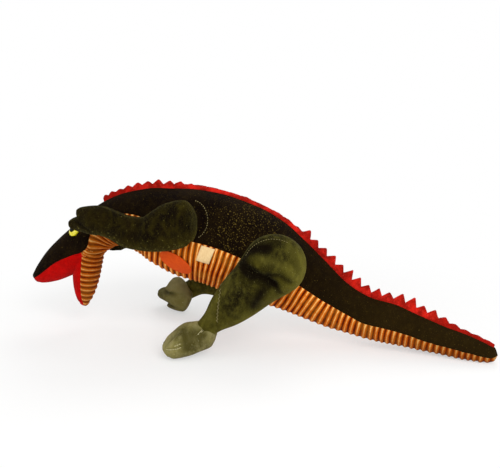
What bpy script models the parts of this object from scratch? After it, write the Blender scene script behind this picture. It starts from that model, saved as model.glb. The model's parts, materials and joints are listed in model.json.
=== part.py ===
"""Plush dinosaur: a long stuffed toy standing on two feet and its tail tip.

Metres, +Z up. The head points to -X, the tail to +X, the toy's left side is -Y.
The origin lies on the floor, half way between the nose and the end of the tail.
"""
import math

import bmesh
import bpy
from mathutils import Matrix, Vector

for old_object in list(bpy.data.objects):
    bpy.data.objects.remove(old_object, do_unlink=True)

mm = 0.001

# The whole toy
overall_length = 611 * mm
spine_height = 153 * mm
girth = 60.8 * mm
breadth = 48.6 * mm
tail_sweep = 58 * mm
sweep_start_share = 0.5
sweep_power = 1.7

# Cloth, seams and clearances
skin_thickness = 2.0 * mm
stuffing_clearance = 0.5 * mm
seam_gap = 0.3 * mm
joint_gap = 0.7 * mm
ankle_gap = 0.3 * mm
flank_gap = 0.35 * mm
floor_flat = 0.5 * mm
cutter_reach = 700 * mm
arm_clearance = 0.35 * mm
merge_distance = 0.02 * mm
joint_mark = 20 * mm
sharp_degrees = 40
most_trim_share = 0.5
spare_stations = 2

full_circle = math.degrees(math.tau)

# Trunk from nose to tail tip, a row for each ring: place along the length, height of the
# spine, then how far the ring reaches above, below and beside the spine
trunk_shares = (
    (0.001, 0.438, 0.050, 0.082, 0.072),
    (0.006, 0.451, 0.105, 0.160, 0.165),
    (0.014, 0.471, 0.155, 0.220, 0.247),
    (0.032, 0.524, 0.235, 0.304, 0.329),
    (0.063, 0.622, 0.335, 0.380, 0.422),
    (0.087, 0.695, 0.370, 0.405, 0.473),
    (0.125, 0.816, 0.395, 0.385, 0.504),
    (0.149, 0.883, 0.428, 0.428, 0.484),
    (0.174, 0.944, 0.470, 0.470, 0.504),
    (0.199, 0.984, 0.528, 0.528, 0.556),
    (0.229, 1.000, 0.627, 0.627, 0.638),
    (0.268, 0.988, 0.748, 0.748, 0.761),
    (0.307, 0.949, 0.872, 0.872, 0.885),
    (0.359, 0.900, 0.984, 0.984, 1.000),
    (0.411, 0.857, 1.000, 1.000, 1.000),
    (0.467, 0.780, 0.997, 0.997, 1.000),
    (0.511, 0.704, 0.954, 0.954, 0.990),
    (0.555, 0.605, 0.855, 0.855, 0.930),
    (0.600, 0.497, 0.748, 0.748, 0.800),
    (0.671, 0.333, 0.577, 0.577, 0.607),
    (0.737, 0.242, 0.470, 0.470, 0.514),
    (0.788, 0.209, 0.462, 0.462, 0.504),
    (0.836, 0.170, 0.400, 0.400, 0.442),
    (0.898, 0.124, 0.313, 0.313, 0.350),
    (0.956, 0.092, 0.239, 0.239, 0.267),
    (0.982, 0.075, 0.173, 0.173, 0.195),
    (0.995, 0.069, 0.107, 0.107, 0.123),
    (1.000, 0.068, 0.049, 0.049, 0.062),
)
back_columns = 4
under_columns = 6

# Seam between the back skin and the under panel, in degrees from the top of the ring
head_seam = ((0.0, 90), (0.09, 90), (0.125, 105), (0.149, 140), (0.2, 150))
torso_seam = ((0.0, 84), (0.2, 84), (0.36, 88), (0.6, 90), (1.0, 112))

# Joints of the trunk, as places along its length
neck_share = 0.152
tail_root_share = 0.598
tail_tip_share = 0.812
joint_round_share = 1.13
arc_steps = 18

# Lower jaw: rings from the hinge down to the tip, as shares of the jaw's length and depth
jaw_pivot_below = 25.5 * mm
jaw_pivot_ahead = 11 * mm
jaw_length = 79 * mm
jaw_lean = 8 * mm
jaw_depth = 18.0 * mm
jaw_breadth = 20.5 * mm
jaw_hinge_radius = 20.5 * mm
jaw_shares = (
    (-0.34, 0.60, 0.70),
    (-0.15, 0.94, 0.92),
    (0.05, 1.00, 1.00),
    (0.28, 1.00, 0.98),
    (0.52, 0.93, 0.90),
    (0.70, 0.75, 0.75),
    (0.84, 0.54, 0.57),
    (0.94, 0.33, 0.35),
    (1.00, 0.13, 0.14),
)
jaw_felt_columns = 4
jaw_rib_columns = 6
jaw_seam_degrees = 74
palate_edge_degrees = 52
jaw_edge_degrees = 34
throat_edge_degrees = 115
jaw_back_degrees = 100

# Ridge of felt along the back
felt_thickness = 1.5 * mm
ridge_depth = 1.5 * mm
ridge_notch = 5.5 * mm
ridge_tooth = 12.5 * mm
tooth_pitch = 14.3 * mm
ridge_start_share = 0.190
ridge_end_share = 0.988
ridge_overrun_share = 1.2
ridge_height_shares = (
    (0.0, 0.8), (0.24, 1.0), (0.32, 1.0), (0.38, 0.75), (0.45, 0.75), (0.50, 1.0),
    (0.85, 1.0), (0.91, 0.55), (1.0, 0.3),
)

# Eyes: a yellow ring round a black pupil whose post passes through the skin to a lock washer
eye_along_share = 0.1265
eye_turn_degrees = 40
eye_radius = 8.5 * mm
eye_height = 4.2 * mm
pupil_radius = 3.8 * mm
post_radius = 2.2 * mm
post_tail = 1.0 * mm
washer_radius = 5.5 * mm
washer_thickness = 1.6 * mm
eye_gap = 0.3 * mm
eye_rim = 0.5 * mm
washer_gap = 0.7 * mm
washer_pocket_gap = 0.6 * mm
turning_steps = 16
dome_steps = 3
slope_step_share = 0.02
slope_step_degrees = 12

# Arms: rings from the shoulder to the fingertips, as shares of the arm's length and half depth
arm_length = 143 * mm
arm_depth = 26.8 * mm
arm_breadth = 19 * mm
shoulder_share = 0.371
shoulder_lift = 27 * mm
shoulder_sink = 9 * mm
arm_turn_left = 0
arm_turn_right = 28
arm_shares = (
    (-0.110, -0.010, 0.34, 0.40, 1.0),
    (-0.085, -0.008, 0.68, 0.74, 1.0),
    (-0.045, 0.004, 0.90, 0.93, 1.0),
    (0.000, 0.012, 1.01, 1.00, 1.0),
    (0.116, -0.019, 1.10, 0.97, 0.9),
    (0.213, -0.056, 1.02, 0.92, 0.5),
    (0.364, -0.091, 0.82, 0.84, 0.0),
    (0.507, -0.076, 0.77, 0.80, 0.0),
    (0.640, -0.025, 0.69, 0.76, 0.0),
    (0.773, 0.020, 0.68, 0.74, 0.0),
    (0.898, 0.018, 0.60, 0.66, 0.0),
    (0.960, 0.008, 0.46, 0.50, 0.0),
    (1.010, 0.000, 0.19, 0.22, 0.0),
)
limb_columns = 10

# Legs: a round thigh that tapers to the ankle, as shares of the way from hip to foot
left_hip_share = 0.551
left_hip_lift = 21 * mm
right_hip_share = 0.512
right_hip_lift = 2 * mm
thigh_radius = 40 * mm
thigh_breadth = 26 * mm
thigh_sink = 12 * mm
left_leg_reach = 101 * mm
right_leg_reach = 133 * mm
left_foot_out = 85 * mm
right_foot_out = 81 * mm
ankle_setback = 24 * mm
thigh_round_degrees = (78, 55, 28, 0)
leg_shares = (
    (0.12, 0.88, 0.98),
    (0.25, 0.79, 0.93),
    (0.45, 0.71, 0.82),
    (0.63, 0.56, 0.70),
    (0.77, 0.38, 0.56),
    (0.92, 0.35, 0.50),
)

# Feet: rings from the heel to the toes, as shares of the foot's length, height and breadth
foot_length = 74 * mm
foot_height = 18.5 * mm
foot_breadth = 23 * mm
foot_shares = (
    (0.00, 0.24, 0.22),
    (0.05, 0.56, 0.50),
    (0.16, 0.86, 0.74),
    (0.36, 1.00, 0.88),
    (0.60, 1.00, 1.00),
    (0.80, 0.90, 0.97),
    (0.93, 0.62, 0.70),
    (1.00, 0.26, 0.30),
)
left_foot_turn = 17
left_foot_dip = 18
left_foot_roll = 0
right_foot_turn = 45
right_foot_dip = 0
right_foot_roll = 72

# Label and hang tag at the left belly seam
label_share = 0.408
label_width = 17 * mm
label_drop = 25 * mm
label_thickness = 0.5 * mm
label_turn_degrees = 91
tag_share = 0.352
tag_length = 39 * mm
tag_width = 29 * mm
tag_thickness = 0.8 * mm
tag_turn_degrees = 120
tag_tilt_degrees = 20
tag_steps = 16

# Colour, roughness and metallic value of each finish
finishes = {
    "dark_velour": ((0.012, 0.009, 0.003), 0.95, 0.0),
    "olive_velour": ((0.032, 0.042, 0.012), 0.92, 0.0),
    "light_olive_velour": ((0.095, 0.110, 0.050), 0.92, 0.0),
    "ribbed_velour": ((0.36, 0.11, 0.012), 0.9, 0.0),
    "red_felt": ((0.55, 0.012, 0.008), 0.9, 0.0),
    "yellow_plastic": ((0.80, 0.72, 0.01), 0.15, 0.0),
    "black_plastic": ((0.01, 0.01, 0.01), 0.12, 0.0),
    "label_tape": ((0.95, 0.85, 0.55), 0.7, 0.0),
    "tag_card": ((0.72, 0.055, 0.012), 0.5, 0.0),
    "stuffing": ((0.85, 0.85, 0.82), 1.0, 0.0),
    "washer_plastic": ((0.75, 0.75, 0.72), 0.4, 0.0),
}

toy = bpy.data.collections.new("plush_dinosaur")
cutters = bpy.data.collections.new("cutters")
bpy.context.scene.collection.children.link(toy)
bpy.context.scene.collection.children.link(cutters)


def between(table, place):
    """Value at a place in a table of (place, value) rows, straight between the rows."""
    for (start, low), (end, high) in zip(table, table[1:]):
        if place <= end:
            part = max(0.0, (place - start) / (end - start))
            return low + (high - low) * part
    return table[-1][1]


def material_for(name, finish):
    colour, roughness, metallic = finishes[finish]
    material = bpy.data.materials.new(name + "_finish")
    material.use_nodes = True
    shader = material.node_tree.nodes["Principled BSDF"]
    shader.inputs["Base Color"].default_value = (*colour, 1.0)
    shader.inputs["Roughness"].default_value = roughness
    shader.inputs["Metallic"].default_value = metallic
    material.diffuse_color = (*colour, 1.0)
    return material


def add_piece(name, mesh, finish, place=None):
    """One named piece of the toy, at its place, with its own material."""
    piece = bpy.data.objects.new(name, mesh)
    toy.objects.link(piece)
    if place is not None:
        piece.matrix_world = place
    mesh.materials.append(material_for(name, finish))
    mesh.shade_smooth()
    mesh.set_sharp_from_angle(angle=math.radians(sharp_degrees))
    return piece


def add_cutter(name, mesh):
    cutter = bpy.data.objects.new(name, mesh)
    cutters.objects.link(cutter)
    cutter.display_type = "WIRE"
    cutter.hide_render = True
    return cutter


def cut(piece, cutter, keep_inside=False):
    change = piece.modifiers.new(cutter.name, "BOOLEAN")
    change.operation = "INTERSECT" if keep_inside else "DIFFERENCE"
    change.solver = "EXACT"
    change.object = cutter


def mesh_from(name, build):
    """A new mesh filled by a function that works on a bmesh."""
    mesh = bpy.data.meshes.new(name)
    shape = bmesh.new()
    build(shape)
    shape.to_mesh(mesh)
    shape.free()
    return mesh


# Rings and lofts shared by every stuffed part


def ring(centre, direction, up_hint, above, below, beside, angles):
    """Points of an oval ring square to a direction, counted from its top towards its left."""
    ahead = direction.normalized()
    up = (up_hint - ahead * up_hint.dot(ahead)).normalized()
    side = ahead.cross(up)
    points = []
    for degrees in angles:
        angle = math.radians(degrees)
        rise = math.cos(angle) * (above if math.cos(angle) > 0 else below)
        points.append(centre + up * rise + side * (math.sin(angle) * beside))
    return points


def outward_normals(rows):
    """Normals of a tube of closed rings, turned away from the middle of each ring."""
    middles = [sum(row, Vector()) / len(row) for row in rows]
    normals = []
    for index, row in enumerate(rows):
        count = len(row)
        line = []
        for column, point in enumerate(row):
            before = rows[index - 1][column] if index > 0 else middles[0]
            after = rows[index + 1][column] if index + 1 < len(rows) else middles[-1]
            around = row[(column + 1) % count] - row[column - 1]
            normal = around.cross(after - before).normalized()
            if normal.dot(point - middles[index]) < 0:
                normal.negate()
            line.append(normal)
        normals.append(line)
    return normals


def sunk(rows, normals, depth):
    return [
        [point - normal * depth for point, normal in zip(row, line)]
        for row, line in zip(rows, normals)
    ]


def surface(shape, rows, closed):
    """Triangles over a grid of points, all split along the same diagonal."""
    grid = [[shape.verts.new(point) for point in row] for row in rows]
    count = len(rows[0])
    for near, far in zip(grid, grid[1:]):
        for column in range(count if closed else count - 1):
            following = (column + 1) % count
            shape.faces.new((near[column], near[following], far[following]))
            shape.faces.new((near[column], far[following], far[column]))
    return grid


def edge_strip(shape, first_line, second_line):
    for (a, b), (c, d) in zip(zip(first_line, first_line[1:]), zip(second_line, second_line[1:])):
        shape.faces.new((a, b, d, c))


def stuffing_mesh(name, rows):
    def build(shape):
        grid = surface(shape, rows, True)
        shape.faces.new(grid[0])
        shape.faces.new(grid[-1])
        bmesh.ops.recalc_face_normals(shape, faces=shape.faces)

    return mesh_from(name, build)


def panel_mesh(name, outer, inner):
    """Cloth panel: an outer and an inner sheet joined round their four edges."""

    def build(shape):
        top = surface(shape, outer, False)
        bottom = surface(shape, inner, False)
        edge_strip(shape, top[0], bottom[0])
        edge_strip(shape, top[-1], bottom[-1])
        edge_strip(shape, [row[0] for row in top], [row[0] for row in bottom])
        edge_strip(shape, [row[-1] for row in top], [row[-1] for row in bottom])
        bmesh.ops.recalc_face_normals(shape, faces=shape.faces)

    return mesh_from(name, build)


def sock_mesh(name, outer, inner):
    """Closed sock of cloth: an outer skin round an inner skin, before its mouth is cut."""

    def build(shape):
        for rows, inside_out in ((outer, False), (inner, True)):
            grid = surface(shape, rows, True)
            ends = [shape.faces.new(grid[0]), shape.faces.new(grid[-1])]
            skin = ends + [face for line in grid for vert in line for face in vert.link_faces]
            skin = list(dict.fromkeys(skin))
            bmesh.ops.recalc_face_normals(shape, faces=skin)
            if inside_out:
                bmesh.ops.reverse_faces(shape, faces=skin)

    return mesh_from(name, build)


def trimmed(rows, normals, first, last, trim_first, trim_last):
    """Columns first to last of a ringed grid, each end drawn back along the ring."""
    count = len(rows[0])
    lines, line_normals = [], []
    for row, line in zip(rows, normals):
        places = [column % count for column in range(first, last + 1)]
        points = [row[place].copy() for place in places]
        directions = [line[place].copy() for place in places]
        for end, neighbour, trim in ((0, 1, trim_first), (-1, -2, trim_last)):
            step = points[neighbour] - points[end]
            part = min(most_trim_share, trim / step.length)
            points[end] = points[end] + step * part
            directions[end] = directions[end].lerp(directions[neighbour], part).normalized()
        lines.append(points)
        line_normals.append(directions)
    return lines, line_normals


def add_panel(name, rows, normals, first, last, trim_first, trim_last, finish):
    outer, facing = trimmed(rows, normals, first, last, trim_first, trim_last)
    mesh = panel_mesh(name, outer, sunk(outer, facing, skin_thickness))
    return add_piece(name, mesh, finish)


def add_stuffing(name, rows, normals):
    depth = skin_thickness + stuffing_clearance
    return add_piece(name, stuffing_mesh(name, sunk(rows, normals, depth)), "stuffing")


def add_sock(name, rows, normals, finish):
    mesh = sock_mesh(name, rows, sunk(rows, normals, skin_thickness))
    return add_piece(name, mesh, finish)


# Cutters


def prism_mesh(name, outline, place, half_length):
    """Flat outline in a frame's X and Y, pushed through the frame along its Z both ways."""

    def build(shape):
        low = [shape.verts.new(place @ Vector((x, y, -half_length))) for x, y in outline]
        face = shape.faces.new(low)
        pushed = bmesh.ops.extrude_face_region(shape, geom=[face])["geom"]
        verts = [item for item in pushed if isinstance(item, bmesh.types.BMVert)]
        step = place.to_3x3() @ Vector((0, 0, 2 * half_length))
        bmesh.ops.translate(shape, verts=verts, vec=step)
        bmesh.ops.recalc_face_normals(shape, faces=shape.faces)

    return mesh_from(name, build)


def frame_of(origin, x_axis, z_axis):
    """Matrix of a frame whose X looks along one direction and whose Z lies on an axis."""
    z = z_axis.normalized()
    x = (x_axis - z * x_axis.dot(z)).normalized()
    turn = Matrix((x, z.cross(x), z)).transposed().to_4x4()
    return Matrix.Translation(origin) @ turn


def on_circle(radius, degrees):
    angle = math.radians(degrees)
    return radius * math.cos(angle), radius * math.sin(angle)


def joint_cutter(name, pivot, toward, axis, radius, first_edge=90, last_edge=90):
    """Round socket about a joint's axis, open without limit on the side of the child.

    The edges are the angles, from the child's direction to each side, where the open
    side begins.
    """
    outline = [on_circle(cutter_reach, first_edge)]
    span = full_circle - first_edge - last_edge
    for step in range(arc_steps + 1):
        outline.append(on_circle(radius, first_edge + span * step / arc_steps))
    outline.append(on_circle(cutter_reach, -last_edge))
    outline.append((cutter_reach, -cutter_reach))
    outline.append((cutter_reach, cutter_reach))
    place = frame_of(pivot, toward, axis)
    return add_cutter(name, prism_mesh(name, outline, place, cutter_reach))


def half_space(name, point, normal):
    """Block that fills the side of a plane its normal points to."""
    side = cutter_reach
    outline = [(0, -side), (side, -side), (side, side), (0, side)]
    helper = Vector((0, 1, 0)) if abs(normal.y) < abs(normal.z) else Vector((0, 0, 1))
    place = frame_of(point, normal, normal.cross(helper))
    return add_cutter(name, prism_mesh(name, outline, place, cutter_reach))


# Trunk rings

sway_axis = Vector((0, 0, 1))
nod_axis = Vector((0, 1, 0))
up_axis = Vector((0, 0, 1))


def spine_point(row):
    along, height = row[0], row[1]
    swept = max(0.0, (along - sweep_start_share) / (1 - sweep_start_share))
    return Vector((
        (along - 0.5) * overall_length,
        -tail_sweep * swept ** sweep_power,
        height * spine_height,
    ))


spine = [spine_point(row) for row in trunk_shares]


def spine_direction(index):
    before = spine[max(0, index - 1)]
    after = spine[min(len(spine) - 1, index + 1)]
    return (after - before).normalized()


def trunk_rows(first, last, seam):
    """Rings of the trunk from one station to another, with columns that follow the seam."""
    rows = []
    for index in range(first, last + 1):
        along, _, above, below, beside = trunk_shares[index]
        edge = between(seam, along)
        angles = [edge * step / back_columns for step in range(back_columns)]
        under = full_circle - 2 * edge
        angles += [edge + under * step / under_columns for step in range(under_columns)]
        angles += [full_circle - edge + edge * step / back_columns for step in range(back_columns)]
        rows.append(ring(
            spine[index], spine_direction(index), up_axis,
            above * girth, below * girth, beside * breadth, angles,
        ))
    return rows


# The trunk is raised so that the lowest part of the tail is cut flat by the floor
lowest = min(point.z for row in trunk_rows(0, len(spine) - 1, torso_seam) for point in row)
spine = [point + Vector((0, 0, -lowest - floor_flat)) for point in spine]


def on_spine(along):
    """Point of the spine, and the direction and ring sizes there, at a place along the toy."""
    for index, (row, following) in enumerate(zip(trunk_shares, trunk_shares[1:])):
        if along <= following[0]:
            part = (along - row[0]) / (following[0] - row[0])
            point = spine[index].lerp(spine[index + 1], part)
            direction = spine_direction(index).lerp(spine_direction(index + 1), part).normalized()
            sizes = [low + (high - low) * part for low, high in zip(row[2:], following[2:])]
            return point, direction, sizes
    raise ValueError("place beyond the end of the tail")


def body_range(start_share, end_share):
    """Stations that cover a stretch of the trunk, with spare ones past each joint."""
    start_share = max(start_share, trunk_shares[0][0])
    first = max(index for index, row in enumerate(trunk_shares) if row[0] <= start_share)
    last = min(index for index, row in enumerate(trunk_shares) if row[0] >= end_share)
    return max(0, first - spare_stations), min(len(trunk_shares) - 1, last + spare_stations)


floor_cutter = half_space("floor_cutter", Vector((0, 0, 0)), Vector((0, 0, -1)))

neck_pivot, neck_direction, neck_sizes = on_spine(neck_share)
tail_pivot, tail_direction, tail_sizes = on_spine(tail_root_share)
tip_pivot, tip_direction, tip_sizes = on_spine(tail_tip_share)
neck_radius = neck_sizes[0] * girth * joint_round_share
tail_radius = tail_sizes[2] * breadth * joint_round_share
tip_radius = tip_sizes[2] * breadth * joint_round_share


def cutter_pair(name, pivot, toward, axis, radius, first_edges=(90, 90), last_edges=(90, 90)):
    """Socket cut from the parent and the slightly smaller round end kept on the child."""
    parent = joint_cutter(
        name + "_socket", pivot, toward, axis, radius + joint_gap / 2, first_edges[0], last_edges[0]
    )
    child = joint_cutter(
        name + "_end", pivot, toward, axis, radius - joint_gap / 2, first_edges[1], last_edges[1]
    )
    return parent, child


neck_socket, neck_end = cutter_pair("neck", neck_pivot, -neck_direction, nod_axis, neck_radius)
flat_tail = Vector((tail_direction.x, tail_direction.y, 0))
flat_tip = Vector((tip_direction.x, tip_direction.y, 0))
tail_socket, tail_end = cutter_pair("tail_root", tail_pivot, flat_tail, sway_axis, tail_radius)
tip_socket, tip_end = cutter_pair("tail_tip", tip_pivot, flat_tip, sway_axis, tip_radius)

# Lower jaw hinge, below and a little ahead of the neck's pivot
jaw_pivot = neck_pivot + Vector((-jaw_pivot_ahead, 0, -jaw_pivot_below))
jaw_down = Vector((-jaw_lean, 0, -jaw_length)).normalized()
jaw_socket, jaw_end = cutter_pair(
    "jaw", jaw_pivot, Vector((0, 0, -1)), nod_axis, jaw_hinge_radius,
    (palate_edge_degrees, jaw_edge_degrees), (throat_edge_degrees, jaw_back_degrees),
)

flank_plane = breadth + flank_gap
left_flank_cutter = half_space("left_flank_cutter", Vector((0, -flank_plane, 0)), Vector((0, 1, 0)))
right_flank_cutter = half_space("right_flank_cutter", Vector((0, flank_plane, 0)), Vector((0, -1, 0)))


# Ridge


def back_line(along, seam_rows, first):
    """Top of the trunk, its upward and its sideways direction at a place along it."""
    for index in range(first, first + len(seam_rows) - 1):
        start, end = trunk_shares[index][0], trunk_shares[index + 1][0]
        if along <= end:
            part = max(0.0, (along - start) / (end - start))
            top = seam_rows[index - first][0].lerp(seam_rows[index - first + 1][0], part)
            base = spine[index].lerp(spine[index + 1], part)
            direction = spine_direction(index).lerp(spine_direction(index + 1), part)
            up = (top - base).normalized()
            return top, up, direction.cross(up).normalized()
    raise ValueError("place beyond these rings")


def add_ridge(name, start, end, rows, first):
    """Strip of felt standing in the back seam, with a tooth cut at every pitch."""
    stretch = (end - start) * overall_length
    teeth = max(1, round(stretch / tooth_pitch))
    sections = []
    for step in range(2 * teeth + 1):
        along = start + (end - start) * step / (2 * teeth)
        top, up, side = back_line(along, rows, first)
        height = ridge_tooth if step % 2 else ridge_notch
        height = height * between(ridge_height_shares, along)
        half = side * (felt_thickness / 2)
        low, high = top - up * ridge_depth, top + up * height
        sections.append([low + half, high + half, high - half, low - half])
    return add_piece(name, stuffing_mesh(name, sections), "red_felt")


half_seam = seam_gap / 2
felt_edge = felt_thickness / 2 + seam_gap
left_seam = back_columns
right_seam = back_columns + under_columns


def add_trunk_body(prefix, under_name, span):
    """Skins and stuffing of one stretch of the trunk, before its joints are cut."""
    first, last = span
    rows = trunk_rows(first, last, torso_seam)
    normals = outward_normals(rows)
    columns = len(rows[0])
    left, right = prefix + "_back_left", prefix + "_back_right"
    inner_last = len(rows) - 1 if last == len(trunk_shares) - 1 else len(rows)
    pieces = [
        add_panel(left, rows, normals, 0, left_seam, felt_edge, half_seam, "dark_velour"),
        add_panel(right, rows, normals, right_seam, columns, half_seam, felt_edge, "dark_velour"),
        add_panel(under_name, rows, normals, left_seam, right_seam, half_seam, half_seam, "ribbed_velour"),
        add_stuffing(prefix + "_stuffing", rows[:inner_last], normals[:inner_last]),
    ]
    return pieces, rows


torso_span = body_range(neck_share, tail_root_share)
torso_pieces, torso_rows = add_trunk_body("torso", "belly_panel", torso_span)
torso_pieces.append(
    add_ridge("back_ridge", ridge_start_share, tail_root_share, torso_rows, torso_span[0])
)
for piece in torso_pieces:
    cut(piece, tail_socket)
    cut(piece, neck_socket)

tail_reach_share = tail_radius / overall_length
tail_span = body_range(tail_root_share - tail_reach_share, tail_tip_share)
tail_pieces, tail_rows = add_trunk_body("tail", "tail_under_panel", tail_span)
tail_ridge_start = tail_root_share - ridge_overrun_share * tail_reach_share
tail_pieces.append(add_ridge("tail_ridge", tail_ridge_start, tail_tip_share, tail_rows, tail_span[0]))
for piece in tail_pieces:
    cut(piece, tail_end, keep_inside=True)
    cut(piece, tip_socket)

tip_reach_share = tip_radius / overall_length
tip_span = body_range(tail_tip_share - tip_reach_share, 1.0)
tip_pieces, tip_rows = add_trunk_body("tail_tip", "tail_tip_under_panel", tip_span)
for piece in tip_pieces:
    cut(piece, floor_cutter)
tip_ridge_start = tail_tip_share - ridge_overrun_share * tip_reach_share
tip_pieces.append(add_ridge("tail_tip_ridge", tip_ridge_start, ridge_end_share, tip_rows, tip_span[0]))
for piece in tip_pieces:
    cut(piece, tip_end, keep_inside=True)

# Head: skins and palate from the nose to past the neck's pivot

head_span = (0, body_range(neck_share, neck_share + neck_radius / overall_length)[1])
head_rows = trunk_rows(*head_span, head_seam)
head_normals = outward_normals(head_rows)
head_left = add_panel(
    "head_skin_left", head_rows, head_normals, 0, left_seam, half_seam, half_seam, "dark_velour"
)
head_right = add_panel(
    "head_skin_right", head_rows, head_normals, right_seam, len(head_rows[0]), half_seam, half_seam,
    "dark_velour",
)
skull = max(index for index, row in enumerate(trunk_shares) if row[0] < neck_share)
palate = add_panel(
    "palate_felt", head_rows[:skull], head_normals[:skull], left_seam, right_seam, half_seam, half_seam,
    "red_felt",
)
head_core = add_stuffing("head_stuffing", head_rows[1:], head_normals[1:])
for piece in (head_left, head_right, head_core):
    cut(piece, neck_end, keep_inside=True)
head_pieces = [head_left, head_right, palate, head_core]
for piece in head_pieces:
    cut(piece, jaw_socket)

# Lower jaw: felt on the side of the tongue, ribbed velour round the rest

jaw_first = jaw_felt_columns // 2
jaw_last = jaw_first + jaw_rib_columns
felt_angles = [jaw_seam_degrees * step / jaw_first for step in range(jaw_first)]
rib_span = full_circle - 2 * jaw_seam_degrees
rib_angles = [jaw_seam_degrees + rib_span * step / jaw_rib_columns for step in range(jaw_rib_columns)]
far_angles = [full_circle - angle for angle in reversed(felt_angles[1:] + [jaw_seam_degrees])]
jaw_rows = [
    ring(
        jaw_pivot + jaw_down * (along * jaw_length), jaw_down, Vector((-1, 0, 0)),
        depth * jaw_depth, depth * jaw_depth, width * jaw_breadth, felt_angles + rib_angles + far_angles,
    )
    for along, depth, width in jaw_shares
]
jaw_normals = outward_normals(jaw_rows)
jaw_skin = add_panel(
    "jaw_ribbed_skin", jaw_rows, jaw_normals, jaw_first, jaw_last, half_seam, half_seam, "ribbed_velour"
)
jaw_felt = add_panel(
    "jaw_felt", jaw_rows, jaw_normals, jaw_last, jaw_last + jaw_felt_columns, half_seam, half_seam, "red_felt"
)
jaw_core = add_stuffing("jaw_stuffing", jaw_rows[:-1], jaw_normals[:-1])
jaw_pieces = [jaw_skin, jaw_felt, jaw_core]
for piece in jaw_pieces:
    cut(piece, jaw_end, keep_inside=True)


# Eyes


def turned(name, profile, place, finish):
    """Solid turned about its own Z from a closed outline of radii and heights."""
    mesh = bpy.data.meshes.new(name)
    points = [(radius, 0, height) for radius, height in profile]
    edges = [(index, (index + 1) % len(points)) for index in range(len(points))]
    if profile[0][0] == 0 and profile[-1][0] == 0:
        edges.pop()
    mesh.from_pydata(points, edges, [])
    piece = add_piece(name, mesh, finish, place)
    turn = piece.modifiers.new("turn", "SCREW")
    turn.axis = "Z"
    turn.steps = turning_steps
    turn.render_steps = turning_steps
    turn.use_merge_vertices = True
    turn.merge_threshold = merge_distance
    turn.use_smooth_shade = True
    return piece


def skin_spot(along, degrees):
    """Point of the trunk's skin, by its place along the toy and round the ring."""
    centre, direction, (above, below, beside) = on_spine(along)
    sizes = above * girth, below * girth, beside * breadth
    return ring(centre, direction, up_axis, *sizes, (degrees,))[0]


def skin_place(along, degrees, lift):
    """Frame lying on the trunk's skin: X towards the tail, Z out of the skin."""
    centre, direction, _ = on_spine(along)
    spot = skin_spot(along, degrees)
    ahead, behind = along - slope_step_share, along + slope_step_share
    lengthwise = skin_spot(behind, degrees) - skin_spot(ahead, degrees)
    above, below = degrees - slope_step_degrees, degrees + slope_step_degrees
    crosswise = skin_spot(along, below) - skin_spot(along, above)
    facing = lengthwise.cross(crosswise).normalized()
    if facing.dot(spot - centre) < 0:
        facing.negate()
    return frame_of(spot + facing * lift, direction, facing)


def add_eye(side, side_name, skin, core):
    """Iris ring, pupil with its post, and lock washer, square to the skin of the head."""
    turn_degrees = eye_turn_degrees if side > 0 else full_circle - eye_turn_degrees
    place = skin_place(eye_along_share, turn_degrees, 0)
    _, _, (above, _, beside) = on_spine(eye_along_share)
    bend_radius = min(above * girth, beside * breadth)

    ball = (eye_radius ** 2 + eye_height ** 2) / (2 * eye_height)
    ball_centre = eye_gap + eye_height - ball

    def dome(radius):
        return ball_centre + math.sqrt(ball ** 2 - radius ** 2)

    hole = pupil_radius + eye_gap
    slope = [hole + (eye_radius - hole) * step / dome_steps for step in range(dome_steps)]
    ring_profile = [(radius, dome(radius)) for radius in slope]
    ring_profile += [(eye_radius, eye_gap + eye_rim), (eye_radius, eye_gap), (hole, eye_gap)]
    iris = turned("iris_" + side_name, ring_profile, place, "yellow_plastic")

    skin_sag = washer_radius ** 2 / bend_radius
    washer_top = -skin_thickness - skin_sag - washer_gap
    washer_bottom = washer_top - washer_thickness
    post_end = washer_bottom - post_tail
    cap = [pupil_radius * step / dome_steps for step in range(dome_steps + 1)]
    pupil_profile = [(radius, dome(radius)) for radius in cap]
    pupil_profile += [(pupil_radius, eye_gap), (post_radius, eye_gap), (post_radius, post_end), (0, post_end)]
    pupil = turned("pupil_" + side_name, pupil_profile, place, "black_plastic")

    bore = post_radius + eye_gap
    washer_profile = [
        (bore, washer_top), (washer_radius, washer_top),
        (washer_radius, washer_bottom), (bore, washer_bottom),
    ]
    washer = turned("eye_washer_" + side_name, washer_profile, place, "washer_plastic")

    def round_cutter(name, radius, low, high):
        outline = [on_circle(radius, full_circle * step / turning_steps) for step in range(turning_steps)]
        middle = place @ Matrix.Translation((0, 0, (low + high) / 2))
        return add_cutter(name, prism_mesh(name, outline, middle, (high - low) / 2))

    post_hole = round_cutter("post_hole_" + side_name, bore + eye_gap, -eye_radius, eye_radius)
    pocket = round_cutter(
        "washer_pocket_" + side_name, washer_radius + washer_pocket_gap, post_end - eye_gap, eye_radius
    )
    cut(skin, post_hole)
    cut(core, pocket)
    return [iris, pupil, washer]


head_pieces += add_eye(1, "left", head_left, head_core)
head_pieces += add_eye(-1, "right", head_right, head_core)

# Arms


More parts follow.
